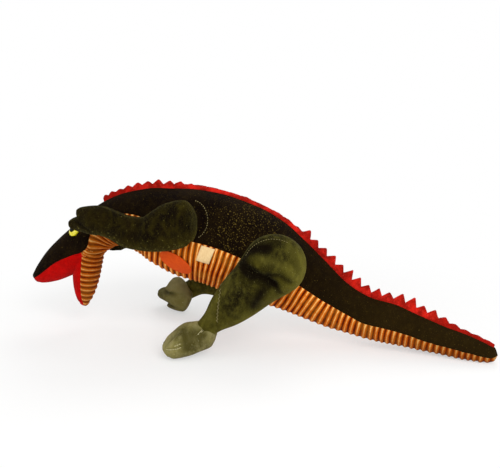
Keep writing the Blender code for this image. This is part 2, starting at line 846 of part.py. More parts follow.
def add_arm(side, side_name, turn_degrees, flank_cutter):
    """Sock and stuffing of one arm, its flat root against the flank of the torso."""
    on_line, _, _ = on_spine(shoulder_share)
    shoulder = Vector((on_line.x, 0, on_line.z + shoulder_lift))
    turn = Matrix.Rotation(math.radians(-turn_degrees), 4, "Y")
    lines = [Vector((-along * arm_length, 0, rise * arm_length)) for along, rise, *_ in arm_shares]
    rows = []
    angles = [full_circle * step / limb_columns for step in range(limb_columns)]
    for index, (_, _, depth, width, sink) in enumerate(arm_shares):
        half_width = width * arm_breadth
        out = flank_plane + arm_clearance + half_width - sink * shoulder_sink
        ahead = lines[min(index + 1, len(lines) - 1)] - lines[max(index - 1, 0)]
        if arm_shares[index][0] <= 0:
            ahead = Vector((-1, 0, 0))
        points = ring(
            lines[index], ahead, up_axis, depth * arm_depth, depth * arm_depth, half_width, angles
        )
        placed = Matrix.Translation(shoulder + Vector((0, -side * out, 0))) @ turn
        rows.append([placed @ point for point in points])
    normals = outward_normals(rows)
    sock = add_sock("arm_" + side_name + "_skin", rows, normals, "olive_velour")
    core = add_stuffing("arm_" + side_name + "_stuffing", rows[1:-1], normals[1:-1])
    cut(sock, flank_cutter)
    cut(core, flank_cutter)
    return Vector((shoulder.x, -side * flank_plane, shoulder.z)), [sock, core]


left_shoulder, left_arm_pieces = add_arm(1, "left", arm_turn_left, left_flank_cutter)
right_shoulder, right_arm_pieces = add_arm(-1, "right", arm_turn_right, right_flank_cutter)

# Legs and feet


def foot_rows(side, place, turn_degrees, dip_degrees, roll_degrees):
    """Rings of a foot about its middle, turned out, dipped at the toes and rolled."""
    turn = (
        Matrix.Rotation(math.radians(side * turn_degrees), 4, "Z")
        @ Matrix.Rotation(math.radians(-dip_degrees), 4, "Y")
        @ Matrix.Rotation(math.radians(side * roll_degrees), 4, "X")
    )
    angles = [full_circle * step / limb_columns for step in range(limb_columns)]
    rows = []
    for along, height, width in foot_shares:
        centre = Vector(((0.5 - along) * foot_length, 0, 0))
        points = ring(
            centre, Vector((-1, 0, 0)), up_axis,
            height * foot_height, height * foot_height, width * foot_breadth, angles,
        )
        rows.append([turn @ point for point in points])
    drop = min(point.z for row in rows for point in row)
    centre = Vector((place.x, place.y, -drop - floor_flat))
    return [[point + centre for point in row] for row in rows], centre


def add_leg(side, side_name, hip_share, hip_lift, reach, foot_out, foot_turns, flank_cutter):
    on_line, _, _ = on_spine(hip_share)
    hip = Vector((on_line.x, 0, on_line.z + hip_lift))
    ground = Vector((hip.x - reach, -side * foot_out, 0))
    rows, foot_middle = foot_rows(side, ground, *foot_turns)
    normals = outward_normals(rows)
    hip_middle = Vector((hip.x, -side * (flank_plane + thigh_breadth - thigh_sink), hip.z))
    way = foot_middle - hip_middle
    down_leg = way.normalized()

    stations = []
    for degrees in thigh_round_degrees:
        share, back = on_circle(1, degrees)
        stations.append((-back * thigh_radius, share, share))
    stations += [(share * way.length, depth, width) for share, depth, width in leg_shares]
    angles = [full_circle * step / limb_columns for step in range(limb_columns)]
    leg_rows = [
        ring(
            hip_middle + down_leg * distance, down_leg, up_axis,
            depth * thigh_radius, depth * thigh_radius, width * thigh_breadth, angles,
        )
        for distance, depth, width in stations
    ]
    leg_normals = outward_normals(leg_rows)
    ankle = foot_middle - down_leg * ankle_setback
    below_ankle = half_space("below_ankle_" + side_name, ankle - down_leg * (ankle_gap / 2), down_leg)
    above_ankle = half_space("above_ankle_" + side_name, ankle + down_leg * (ankle_gap / 2), -down_leg)

    leg_sock = add_sock("leg_" + side_name + "_skin", leg_rows, leg_normals, "olive_velour")
    leg_core = add_stuffing("leg_" + side_name + "_stuffing", leg_rows, leg_normals)
    for piece in (leg_sock, leg_core):
        cut(piece, flank_cutter)
        cut(piece, below_ankle)
    foot_sock = add_sock("foot_" + side_name + "_skin", rows, normals, "light_olive_velour")
    foot_core = add_stuffing("foot_" + side_name + "_stuffing", rows[1:-1], normals[1:-1])
    for piece in (foot_sock, foot_core):
        cut(piece, above_ankle)
    cut(foot_sock, floor_cutter)
    return Vector((hip.x, -side * flank_plane, hip.z)), [leg_sock, leg_core, foot_sock, foot_core]


left_hip, left_leg_pieces = add_leg(
    1, "left", left_hip_share, left_hip_lift, left_leg_reach, left_foot_out,
    (left_foot_turn, left_foot_dip, left_foot_roll), left_flank_cutter,
)
right_hip, right_leg_pieces = add_leg(
    -1, "right", right_hip_share, right_hip_lift, right_leg_reach, right_foot_out,
    (right_foot_turn, right_foot_dip, right_foot_roll), right_flank_cutter,
)

# Label and tag


label_side = label_width / 2
label_corners = [(-label_side, 0), (label_side, 0), (label_side, -label_drop), (-label_side, -label_drop)]
label_place = skin_place(label_share, label_turn_degrees, seam_gap + label_thickness / 2)
label_mesh = prism_mesh("care_label", label_corners, label_place, label_thickness / 2)
add_piece("care_label", label_mesh, "label_tape")

tag_outline = []
for step in range(tag_steps):
    across, down = on_circle(1, full_circle * step / tag_steps)
    tag_outline.append((tag_length / 2 * across, tag_width / 2 * down))
tag_place = skin_place(tag_share, tag_turn_degrees, seam_gap + tag_thickness / 2)
tag_place = tag_place @ Matrix.Rotation(math.radians(tag_tilt_degrees), 4, "Z")
tag_mesh = prism_mesh("hang_tag", tag_outline, tag_place, tag_thickness / 2)
add_piece("hang_tag", tag_mesh, "tag_card")

# Joints: an empty on each axis carries the pieces that turn about it


def add_joint(name, pivot, pieces, carrier=None):
    joint = bpy.data.objects.new(name + "_joint", None)
    toy.objects.link(joint)
    joint.empty_display_type = "ARROWS"
    joint.empty_display_size = joint_mark
    joint.location = pivot
    if carrier is not None:
        joint.parent = carrier
        joint.matrix_parent_inverse = Matrix.Translation(-carrier.location)
    for piece in pieces:
        piece.parent = joint
        piece.matrix_parent_inverse = Matrix.Translation(-joint.location)
    print(name, "axis in millimetres", [round(value / mm, 2) for value in pivot])
    return joint


head_joint = add_joint("head", neck_pivot, head_pieces)
add_joint("jaw", jaw_pivot, jaw_pieces, head_joint)
add_joint("arm_left", left_shoulder, left_arm_pieces)
add_joint("arm_right", right_shoulder, right_arm_pieces)
add_joint("leg_left", left_hip, left_leg_pieces)
add_joint("leg_right", right_hip, right_leg_pieces)
tail_joint = add_joint("tail", tail_pivot, tail_pieces)
add_joint("tail_tip", tip_pivot, tip_pieces, tail_joint)
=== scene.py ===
import json
import math

import bmesh
import bpy
import numpy as np
from mathutils import Matrix, Vector, noise
from mathutils.bvhtree import BVHTree


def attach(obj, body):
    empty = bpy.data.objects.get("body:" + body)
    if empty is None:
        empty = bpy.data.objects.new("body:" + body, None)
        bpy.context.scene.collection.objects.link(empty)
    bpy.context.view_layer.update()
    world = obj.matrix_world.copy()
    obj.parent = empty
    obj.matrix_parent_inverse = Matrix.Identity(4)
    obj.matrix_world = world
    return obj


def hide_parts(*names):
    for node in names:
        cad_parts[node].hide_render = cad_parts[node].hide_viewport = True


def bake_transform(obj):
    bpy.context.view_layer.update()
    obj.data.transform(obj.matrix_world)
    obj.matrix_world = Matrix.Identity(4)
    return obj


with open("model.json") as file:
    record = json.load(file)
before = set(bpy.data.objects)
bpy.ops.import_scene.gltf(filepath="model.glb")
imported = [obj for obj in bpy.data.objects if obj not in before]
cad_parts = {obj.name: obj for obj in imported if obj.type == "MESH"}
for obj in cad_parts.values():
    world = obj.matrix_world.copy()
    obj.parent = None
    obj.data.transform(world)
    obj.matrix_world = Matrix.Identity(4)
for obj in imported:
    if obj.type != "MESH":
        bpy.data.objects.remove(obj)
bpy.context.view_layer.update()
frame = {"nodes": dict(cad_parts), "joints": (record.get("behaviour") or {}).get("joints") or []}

mm = 0.001

# The place where the toy stands: a plain white floor under soft lamps. The camera looks at
# its left side, a little from the right of square and from slightly above.

scene = bpy.context.scene
scene.view_settings.view_transform = "Standard"

camera_azimuth = math.radians(8)
camera_elevation = math.radians(14)
camera_distance = 1.1
width_in_view = 0.65
camera_target = Vector((-0.0075, 0, 0.1382))
sensor_width = 36


def facing_from(azimuth, elevation):
    """Direction from the toy towards a place round it, 0 in front of its left side."""
    level = math.cos(elevation)
    return Vector((math.sin(azimuth) * level, -math.cos(azimuth) * level, math.sin(elevation)))


def looking_at(target, direction, distance):
    turn = direction.to_track_quat("Z", "Y").to_matrix().to_4x4()
    return Matrix.Translation(target + direction * distance) @ turn


camera_data = bpy.data.cameras.new("camera")
camera_data.sensor_width = sensor_width
camera_data.lens = sensor_width * camera_distance / width_in_view
camera = bpy.data.objects.new("camera", camera_data)
camera.matrix_world = looking_at(
    camera_target, facing_from(camera_azimuth, camera_elevation), camera_distance
)
scene.collection.objects.link(camera)
scene.camera = camera

# azimuth and elevation in degrees, distance and width in metres, power in watts
for lamp_name, azimuth, elevation, distance, width, power in (
    ("key_lamp", 30, 32, 1.7, 1.1, 17.0),
    ("fill_lamp", -50, 15, 1.8, 1.4, 8.0),
    ("back_lamp", 170, 45, 1.8, 1.2, 8.0),
):
    lamp_data = bpy.data.lights.new(lamp_name, "AREA")
    lamp_data.shape = "DISK"
    lamp_data.size = width
    lamp_data.energy = power
    lamp = bpy.data.objects.new(lamp_name, lamp_data)
    lamp.matrix_world = looking_at(
        camera_target, facing_from(math.radians(azimuth), math.radians(elevation)), distance
    )
    scene.collection.objects.link(lamp)


class Value:
    """A number in a finish's nodes; arithmetic on it adds Math nodes."""

    def __init__(self, finish, socket):
        self.finish = finish
        self.socket = socket

    def maths(self, operation, first, second):
        return self.finish.add("Math", {"operation": operation}, {0: first, 1: second})

    def __add__(self, other):
        return self.maths("ADD", self, other)

    def __sub__(self, other):
        return self.maths("SUBTRACT", self, other)

    def __rsub__(self, other):
        return self.maths("SUBTRACT", other, self)

    def __mul__(self, other):
        return self.maths("MULTIPLY", self, other)

    __radd__ = __add__
    __rmul__ = __mul__


class Finish:
    """One material: its nodes are added in turn and feed a Principled shader."""

    def __init__(self, name, gloss=0.5, **constants):
        self.material = bpy.data.materials.new(name)
        self.material.use_nodes = True
        self.tree = self.material.node_tree
        self.shader = self.tree.nodes["Principled BSDF"]
        for words, value in constants.items():
            self.shader.inputs[words.replace("_", " ").title()].default_value = value
        self.shader.inputs["Specular IOR Level"].default_value = gloss

    def add(self, kind, settings=None, values=None, out=0):
        node = self.tree.nodes.new("ShaderNode" + kind)
        for name, value in (settings or {}).items():
            setattr(node, name, value)
        for name, value in (values or {}).items():
            self.join(value, node.inputs[name])
        return Value(self, node.outputs[out])

    def join(self, value, socket):
        if isinstance(value, Value):
            self.tree.links.new(value.socket, socket)
        else:
            socket.default_value = value

    def noise(self, scale, detail=2.0, stretch=(1, 1, 1)):
        """Even noise from 0 to 1, its scale in bumps a metre."""
        place = self.add("TexCoord", out="Object")
        place = self.add("Mapping", None, {"Vector": place, "Scale": stretch})
        return self.add("TexNoise", None, {"Vector": place, "Scale": scale, "Detail": detail})

    def step(self, value, low, high):
        """0 below low, 1 above high and smooth in between."""
        settings = {"interpolation_type": "SMOOTHSTEP"}
        return self.add("MapRange", settings, {"Value": value, "From Min": low, "From Max": high})

    def mix(self, factor, first, second):
        """Two colours mixed; these are the Mix node's sockets for colours."""
        return self.add("Mix", {"data_type": "RGBA"}, {0: factor, 6: first, 7: second}, out=2)

    def stored(self, name):
        """A number kept on the piece's vertices."""
        return self.add("Attribute", {"attribute_name": name}, out="Fac")

    def colour(self, value):
        self.join(value, self.shader.inputs["Base Color"])

    def bump(self, height):
        """Relief from a height in millimetres."""
        normal = self.add("Bump", None, {"Height": height, "Distance": mm, "Strength": 1.0})
        self.join(normal, self.shader.inputs["Normal"])


def paint(code):
    """Linear colour from the usual six-digit code of a screen colour."""
    parts = [int(code[start:start + 2], 16) / 255 for start in (0, 2, 4)]
    linear = [part / 12.92 if part <= 0.04045 else ((part + 0.055) / 1.055) ** 2.4 for part in parts]
    return (*linear, 1.0)


floor_size = 8.0
floor_mesh = bpy.data.meshes.new("floor")
floor_shape = bmesh.new()
bmesh.ops.create_grid(floor_shape, x_segments=1, y_segments=1, size=floor_size)
floor_shape.to_mesh(floor_mesh)
floor_shape.free()
floor = bpy.data.objects.new("floor", floor_mesh)
scene.collection.objects.link(floor)

# The floor is white paper: lit and shadowed near the toy, plain white further off.
paper_near, paper_far = 0.26, 0.50
floor_finish = Finish("floor_paint", roughness=0.9)
floor_finish.colour(paint("fbfbfa"))
seen = floor_finish.add("LightPath", out="Is Camera Ray")
spot = floor_finish.add("TexCoord", out="Object")
away = floor_finish.add("VectorMath", {"operation": "LENGTH"}, {0: spot}, out="Value")
glow = floor_finish.add("Emission", None, {"Color": (1, 1, 1, 1), "Strength": 1.0})
far = floor_finish.step(away, paper_near, paper_far) * 0.50 + 0.50
lit = Value(floor_finish, floor_finish.shader.outputs[0])
both = floor_finish.add("MixShader", None, {0: seen * far, 1: lit, 2: glow})
floor_finish.join(both, floor_finish.tree.nodes["Material Output"].inputs["Surface"])
floor_mesh.materials.append(floor_finish.material)

world_light = 0.55
world = bpy.data.worlds.new("white_room")
scene.world = world
world.use_nodes = True
world_tree = world.node_tree
plain = world_tree.nodes["Background"]
white = world_tree.nodes.new("ShaderNodeBackground")
for light, strength in ((plain, world_light), (white, 1.0)):
    light.inputs["Color"].default_value = (1, 1, 1, 1)
    light.inputs["Strength"].default_value = strength
rays = world_tree.nodes.new("ShaderNodeLightPath")
either = world_tree.nodes.new("ShaderNodeMath")
any_ray = world_tree.nodes.new("ShaderNodeMath")
either.operation = any_ray.operation = "MAXIMUM"
choice = world_tree.nodes.new("ShaderNodeMixShader")
for output, socket in (
    (rays.outputs["Is Camera Ray"], either.inputs[0]),
    (rays.outputs["Is Glossy Ray"], either.inputs[1]),
    (either.outputs[0], any_ray.inputs[0]),
    (rays.outputs["Is Transmission Ray"], any_ray.inputs[1]),
    (any_ray.outputs[0], choice.inputs["Fac"]),
    (plain.outputs[0], choice.inputs[1]),
    (white.outputs[0], choice.inputs[2]),
    (choice.outputs[0], world_tree.nodes["World Output"].inputs["Surface"]),
):
    world_tree.links.new(output, socket)

# Back and sides: short-pile velour, almost black, cut as a left and a right panel from snout
# to tail tip. Underneath it is sewn to a panel of wide-ribbed orange velour, in the roof of
# the mouth to red felt, and the whole is turned and stuffed, so it swells between the seams.


def velour(name, deep, base, tip, speck, sheen, lint_share=0.68):
    """Short-pile velour: patches where the nap lies either way, pile grain and lint.

    Stored numbers paint shade into folds, hollows and sides turned from the light, paint
    highlights on rims and lit sides, and add pale specks: lint, and painted glints on lit rims.
    """
    cloth = Finish(name, gloss=0.06, roughness=0.97, sheen_weight=sheen, sheen_roughness=0.28)
    cloth.shader.inputs["Sheen Tint"].default_value = paint(speck)
    patches = cloth.step(cloth.noise(26, 3.0), 0.35, 0.68)
    nap = cloth.step(cloth.noise(150, 4.0, (1, 1, 0.6)), 0.40, 0.75)
    grain = cloth.step(cloth.noise(1100, 2.0), 0.45, 0.8)
    lint = cloth.step(cloth.noise(1300, 1.0), lint_share, lint_share + 0.06)
    # pale specks, more where stored: real lint on the back, painted glints along the arms' lit rims
    specks = cloth.step(cloth.noise(640, 0.0) + cloth.stored("dust") * 0.15, 0.80, 0.87)
    body = cloth.mix(patches, paint(deep), paint(base))
    # painted highlight: lighter towards the tip colour on rims and lit sides
    body = cloth.mix(nap * 0.3 + cloth.stored("gleam"), body, paint(tip))
    body = cloth.mix(grain * 0.4, body, paint(tip))
    # painted shade: darker in folds and hollows and where less light falls
    body = cloth.mix(cloth.stored("shade"), body, paint(deep))
    body = cloth.mix(lint * (patches * 0.35 + 0.5), body, paint(speck))
    body = cloth.mix(specks * 0.38, body, paint(speck))
    cloth.colour(body)
    cloth.bump(grain * 0.5 + nap * 0.4 + cloth.noise(420, 2.0) * 0.6)
    return cloth.material


dark_velour = velour("dark_velour", "070100", "130902", "2a1e04", "86702e", 0.05, 0.73)


def ribbed(name):
    """Wide-ribbed velour: pale orange painted along each crest as highlight, rust painted in the
    valleys as shade.
    """
    cloth = Finish(name, gloss=0.05, roughness=0.95, sheen_weight=0.02, sheen_roughness=0.4)
    crest = cloth.stored("crest")
    fuzz = cloth.noise(900, 3.0)
    wander = cloth.noise(110, 3.0)
    height = crest + (fuzz - 0.5) * 0.3 + (wander - 0.5) * 0.45
    # painted shade in the valleys and painted light on the crests: rust below, orange above
    body = cloth.mix(cloth.step(height, 0.08, 0.42), paint("5c1400"), paint("d26408"))
    body = cloth.mix(cloth.step(cloth.noise(45, 2.0), 0.4, 0.7) * 0.4, body, paint("a0681a"))
    # painted highlight: a pale line on each crest, more of it along the seams
    body = cloth.mix(cloth.step(height + cloth.stored("hem") * 0.3, 0.74, 1.10), body, paint("ffc26c"))
    # painted shade: darker ribs on the jaw, under the neck and towards the tail's end
    body = cloth.mix(cloth.stored("dusk") * 0.64, body, paint("602802"))
    cloth.colour(body)
    cloth.bump(fuzz * 0.6 + cloth.noise(420, 2.0) * 0.5)
    return cloth.material


ribbed_velour = ribbed("ribbed_velour")


def felt(name, deep, base, tip):
    """Pressed felt: fine crossed fibres and soft mottling."""
    cloth = Finish(name, gloss=0.04, roughness=0.98, sheen_weight=0.02, sheen_roughness=0.5)
    mottle = cloth.noise(90, 4.0)
    fibres = cloth.noise(700, 4.0, (1, 1, 0.35))
    crossed = cloth.noise(700, 4.0, (0.35, 1, 1))
    body = cloth.mix(cloth.step(mottle, 0.35, 0.7), paint(deep), paint(base))
    body = cloth.mix(cloth.step(fibres * 0.5 + crossed * 0.5, 0.5, 0.7) * 0.4, body, paint(tip))
    # painted shade, where a piece stores it
    body = cloth.mix(cloth.stored("shade"), body, paint(deep))
    cloth.colour(body)
    cloth.bump(fibres * 0.35 + crossed * 0.35)
    return cloth.material


lining_felt = felt("lining_felt", "9c0402", "b20503", "c4180c")
ridge_felt = felt("ridge_felt", "8c1208", "cc2015", "e64032")

overall_length = 611 * mm
spine_height = 153 * mm
girth = 60.8 * mm
breadth = 48.6 * mm
tail_sweep = 58 * mm
sweep_start_share = 0.5
sweep_power = 1.7
neck_share = 0.152

# in thousandths: place along the toy, height of the spine, reach above, below and beside it
trunk_shares = np.array((
    (-1, 434, 0, 0, 0), (1, 438, 60, 90, 82), (6, 451, 108, 165, 170),
    (14, 471, 158, 230, 250), (32, 524, 235, 340, 329), (63, 622, 335, 455, 422),
    (87, 695, 370, 500, 473), (125, 816, 395, 490, 504), (149, 883, 428, 460, 484),
    (174, 944, 470, 480, 504), (199, 984, 528, 528, 556), (229, 1000, 627, 627, 638),
    (268, 988, 748, 748, 761), (307, 949, 872, 872, 885), (359, 900, 984, 984, 984),
    (411, 857, 1000, 1000, 1000), (467, 780, 997, 997, 1000), (511, 704, 954, 954, 990),
    (555, 605, 855, 830, 930), (600, 497, 748, 700, 800), (671, 333, 577, 505, 607),
    (737, 242, 470, 410, 514), (788, 209, 462, 395, 504), (836, 170, 400, 335, 442),
    (898, 124, 313, 268, 350), (956, 92, 239, 222, 267), (982, 77, 188, 180, 210),
    (995, 73, 132, 128, 150), (1001, 73, 0, 0, 0),
)) / 1000
# seam between the back and what lies under it, in degrees from the top of each ring
seam_degrees = (
    (-0.01, 91), (0.05, 90), (0.075, 94), (0.098, 103), (0.112, 112), (0.122, 113), (0.156, 80),
    (0.190, 70), (0.222, 68), (0.300, 80), (0.360, 88), (0.520, 88), (0.600, 79),
    (0.658, 79), (0.700, 82), (0.743, 89), (0.786, 88), (0.828, 88), (0.871, 95), (0.920, 97),
    (1.010, 110),
)
mouth_corner_share = 0.112
rib_pitch = 7.7 * mm
rib_height = 1.7 * mm
# how far the ribs slant towards the throat, as the tangent of their angle
rib_slant_shares = ((0.0, 0.68), (0.150, 0.68), (0.205, 0.0), (1.0, 0.0))
seam_depth = 1.6 * mm
seam_width = 2.4 * mm
pucker_depth = 0.8 * mm
pucker_reach = 7 * mm
rib_wander = 0.16
swell_depth = 1.0 * mm
seam_highlight_width = 2 * mm
tip_fullness = 12 * mm
shoulder_fold = 18 * mm
shoulder_fold_width = 4 * mm
shoulder_fold_depth = 1.6 * mm
shoulder_pucker_depth = 0.7 * mm
flank_start = 20 * mm
# where lint gathers on the back: x, z and how wide
dusty_spots = ((-0.030, 0.165, 0.034), (0.020, 0.158, 0.030), (-0.012, 0.140, 0.030))
merge_distance = 0.01 * mm


def curve(rows, places):
    """Values on smooth curves through a table's rows, whose first column is the place."""
    table = np.array(rows, float)
    places = np.asarray(places, float)
    slopes = np.gradient(table[:, 1:], table[:, 0], axis=0)
    rises = np.diff(table[:, 1:], axis=0) / np.diff(table[:, 0])[:, None]
    before, after = np.vstack([rises[:1], rises]), np.vstack([rises, rises[-1:]])
    steepest = 3 * np.minimum(np.abs(before), np.abs(after)) * (before * after > 0)
    slopes = np.clip(slopes, -steepest, steepest)
    index = np.clip(np.searchsorted(table[:, 0], places) - 1, 0, len(table) - 2)
    width = (table[index + 1, 0] - table[index, 0])[:, None]
    part = (places[:, None] - table[index, :1]) / width
    square, cube = part ** 2, part ** 3
    return (
        (2 * cube - 3 * square + 1) * table[index, 1:]
        + (cube - 2 * square + part) * width * slopes[index]
        + (3 * square - 2 * cube) * table[index + 1, 1:]
        + (cube - square) * width * slopes[index + 1]
    )


joint_places = {joint["name"]: joint["pos_m"] for joint in frame["joints"]}
spine_lift = joint_places["head_nod"][2] - spine_height * curve(trunk_shares, [neck_share])[0, 0]


def spine_at(along):
    along = np.asarray(along, float)
    swept = np.clip((along - sweep_start_share) / (1 - sweep_start_share), 0, None)
    height = curve(trunk_shares, along)[:, 0] * spine_height + spine_lift
    return np.stack([(along - 0.5) * overall_length, -tail_sweep * swept ** sweep_power, height], 1)


def unit(vectors):
    return vectors / np.linalg.norm(vectors, axis=1, keepdims=True)


def trunk_directions(along):
    """Forward, upward and leftward directions of the rings at places along the toy."""
    nudge = 0.004
    forward = unit(spine_at(along + nudge) - spine_at(along - nudge))
    upward = np.array([0, 0, 1]) - forward * forward[:, 2:]
    upward = unit(upward)
    return forward, upward, np.cross(forward, upward)


spine_places = np.linspace(-0.001, 1.001, 1200)
spine_steps = np.linalg.norm(np.diff(spine_at(spine_places), axis=0), axis=1)
spine_lengths = np.concatenate([[0], np.cumsum(spine_steps)])


def share(values):
    """Values held between 0 and 1."""
    return np.clip(values, 0, 1)


def ramp(values, reach):
    """0 for values of 0 or less, 1 from the given reach on and straight in between."""
    return np.clip(values / reach, 0, 1)


def hump(distance, width):
    """1 where the distance is nothing, fading to 0 either side over the width."""
    return np.exp(-((distance / width) ** 2))


def rib_profile(phase):
    """Round crest and wider valley, from 0 to 1; the phase counts ribs."""
    return (0.5 + 0.5 * np.cos(math.tau * phase)) ** 1.25


def wander(points, scale, seed):
    """Smooth random numbers from -1 to 1 at points; scale is in bumps a metre."""
    offset = Vector((seed, seed * 0.7, seed * 1.3))
    return np.array([noise.noise(Vector(point) * scale + offset) for point in points])


def ring_angles(around, seam):
    """Angles round a ring, their turn from its nearer seam, and whether they lie below both.

    Around counts 0 to 1 down to the left seam, to 2 at the right one and to 3 at the top.
    """
    degrees = np.where(around <= 1, around * seam, seam + (around - 1) * (360 - 2 * seam))
    degrees = np.where(around > 2, 360 - (3 - around) * seam, degrees)
    away = np.abs(np.where(degrees < 180, degrees - seam, 360 - seam - degrees))
    return np.radians(degrees), np.radians(away), (around > 1) & (around < 2)


def trunk_form(along, around):
    """Points of the stuffed trunk, the relief of its cloth, and what its finish reads."""
    _, above, below, beside = curve(trunk_shares, along).T
    above, below, beside = [np.clip(size, 0, None) for size in (above, below, beside)]
    seam = curve(seam_degrees, along)[:, 0]
    angle, turn_away, under = ring_angles(around, seam)
    rise, side = np.cos(angle), np.sin(angle)
    height = np.where(rise > 0, above, below) * girth
    width = beside * breadth
    size = np.minimum(height, width)
    away = turn_away * size
    _, upward, leftward = trunk_directions(along)
    points = spine_at(along) + upward * (rise * height)[:, None] + leftward * (side * width)[:, None]
    points[:, 2] = np.maximum(points[:, 2], 0)
    outward = upward * (rise * width)[:, None] + leftward * (side * height)[:, None]
    outward = outward / np.maximum(np.linalg.norm(outward, axis=1, keepdims=True), mm)
    distance = np.interp(along, spine_places, spine_lengths)
    slant = np.interp(along, *np.array(rib_slant_shares).T)
    phase = (distance - slant * away) / rib_pitch + rib_wander * wander(points, 35, 2.2)
    crest = rib_profile(phase) * (under & (along > mouth_corner_share))
    full = ramp(size, tip_fullness)
    relief = crest * rib_height * ramp(away, 3 * mm) * full
    relief -= hump(away, seam_width) * seam_depth * full
    relief += np.exp(-away / pucker_reach) * pucker_depth * full * wander(points, 170, 3.1)
    relief += wander(points, 26, 7.7) * swell_depth * full
    shade = np.zeros(len(along))
    for side_name in ("left", "right"):
        x, _, z = joint_places["shoulder_" + side_name]
        reach = np.hypot(points[:, 0] - x, points[:, 2] - z)
        outward_y = -points[:, 1] if side_name == "left" else points[:, 1]
        same_side = outward_y > flank_start
        fold = hump(reach - shoulder_fold, shoulder_fold_width) * same_side
        relief -= fold * shoulder_fold_depth
        # painted shade in the fold round each shoulder
        shade += fold * 0.8
        pucker = hump(reach - shoulder_fold - 7 * mm, 3 * mm) * same_side
        relief += pucker * shoulder_pucker_depth * wander(points, 260, 4.4)
    dust = np.zeros(len(along))
    for x, z, width in dusty_spots:
        dust += 0.8 * np.exp(-(((points[:, 0] - x) ** 2 + (points[:, 2] - z) ** 2) / width ** 2))
    # painted shade on the ribs under the neck and towards the tail's end
    dusk = ramp(along - 0.62, 0.3) + np.clip((0.26 - along) / 0.1, 0, 0.7)
    # the rib crests, which also set the painted light on the ribs, and a painted highlight along the
    # seams
    stored = {"crest": crest, "hem": np.exp(-away / seam_highlight_width) * under}
    stored.update({"shade": shade, "dusk": dusk, "dust": share(dust)})
    # painted highlight: the dark back lighter towards the tail
    stored["gleam"] = ramp(along - 0.52, 0.25) * 0.5
    return points, outward * relief[:, None], stored


def eased(count):
    """Places from 0 to 1, closer together near both ends."""
    return (1 - np.cos(np.linspace(0, math.pi, count + 1))) / 2


# from the top down the left side to the seam, under to the right seam and up again
trunk_turns = np.concatenate([eased(26), 1 + eased(44)[1:], 2 + eased(26)[1:]])


def finished(shape, name, finishes):
    """A piece from a bmesh, shaded smooth, with its finishes."""
    mesh = bpy.data.meshes.new(name)
    for face in shape.faces:
        face.smooth = True
    shape.to_mesh(mesh)
    shape.free()
    for material in finishes:
        mesh.materials.append(material)
    piece = bpy.data.objects.new(name, mesh)
    scene.collection.objects.link(piece)
    return piece


def flat_cloth(lengths, turns):
    """A flat grid of cloth, with the place of each point along and around the piece."""
    shape = bmesh.new()
    rows, columns = len(lengths) - 1, len(turns) - 1
    bmesh.ops.create_grid(shape, x_segments=columns, y_segments=rows, size=0.5)
    flat = np.array([vert.co[:2] for vert in shape.verts])
    along = lengths[np.rint((flat[:, 1] + 0.5) * rows).astype(int)]
    around = turns[np.rint((flat[:, 0] + 0.5) * columns).astype(int)]
    return shape, along, around


def wrap(name, lengths, turns, form, finishes, finish_of=None):
    """Cloth cut flat as a grid, wrapped round a form, sewn up and closed at its ends."""
    shape, along, around = flat_cloth(lengths, turns)
    if finish_of:
        for face in shape.faces:
            corners = [vert.index for vert in face.verts]
            face.material_index = finish_of(along[corners].mean(), around[corners].mean())
    points, relief, stored = form(along, around)
    points = points + relief
    points[:, 2] = np.maximum(points[:, 2], 0)
    for key, numbers in stored.items():
        layer = shape.verts.layers.float.new(key)
        for vert, number in zip(shape.verts, numbers):
            vert[layer] = number
    for vert, point in zip(shape.verts, points):
        vert.co = point
    bmesh.ops.remove_doubles(shape, verts=shape.verts, dist=merge_distance)
    ends = [edge for edge in shape.edges if edge.is_boundary]
    if ends:
        bmesh.ops.holes_fill(shape, edges=ends)
    bmesh.ops.recalc_face_normals(shape, faces=shape.faces)
    return finished(shape, name, finishes)


def trunk_finish(along, around):
    if around < 1 or around > 2:
        return 0
    return 1 if along > mouth_corner_share else 2


front_split, rear_split = 0.30, 0.70
row_share = 0.00155
nose_rows = -0.001 + 0.031 * np.linspace(0, 1, 18) ** 2
front_rows = np.concatenate([nose_rows, np.arange(0.0315, front_split, row_share), [front_split]])
body_rows = np.concatenate([np.arange(front_split, rear_split, row_share), [rear_split]])
tip_rows = 1.001 - 0.021 * np.linspace(1, 0, 16) ** 2
tail_rows = np.concatenate([np.arange(rear_split, 0.979, row_share), tip_rows])

# the neck, the root of the tail and the place before the tail's tip: the bodies either side and
# where each begins and ends along the toy; the loop only works out the spine there
for name, before, behind, first, last in (
    ("neck", "head", "torso", 0.128, 0.192),
    ("tail", "torso", "tail", 0.560, 0.640),
    ("tip", "tail", "tail_tip", 0.780, 0.845),
):
    spine_at([first, last])


def bend(piece):
    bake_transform(piece)


trunk_finishes = [dark_velour, ribbed_velour, lining_felt]
for name, rows, joint, nodes in (
    ("head_and_neck", front_rows, "neck", (
        "head_skin_left", "head_skin_right", "palate_felt", "head_stuffing",
    )),
    ("body", body_rows, "tail", (
        "torso_back_left", "torso_back_right", "belly_panel", "torso_stuffing",
    )),
    ("tail_end", tail_rows, "tip", (
        "tail_back_left", "tail_back_right", "tail_under_panel", "tail_stuffing", "tail_tip_back_left",
        "tail_tip_back_right", "tail_tip_under_panel", "tail_tip_stuffing",
    )),
):
    piece = wrap(name, rows, trunk_turns, trunk_form, trunk_finishes, trunk_finish)
    bend(piece)
    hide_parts(*nodes)

# Lower jaw: a narrow stuffed flap that hangs open from the throat, ribbed velour outside
# and red felt on the side of the tongue, sewn together along both edges.

jaw_joint = Vector(joint_places["jaw_open"])
jaw_length = 81.5 * mm
jaw_lean = 11 * mm
jaw_depth = 18 * mm
jaw_breadth = 20.5 * mm
jaw_felt_bulge = 3.5 * mm
jaw_seam_degrees = 74
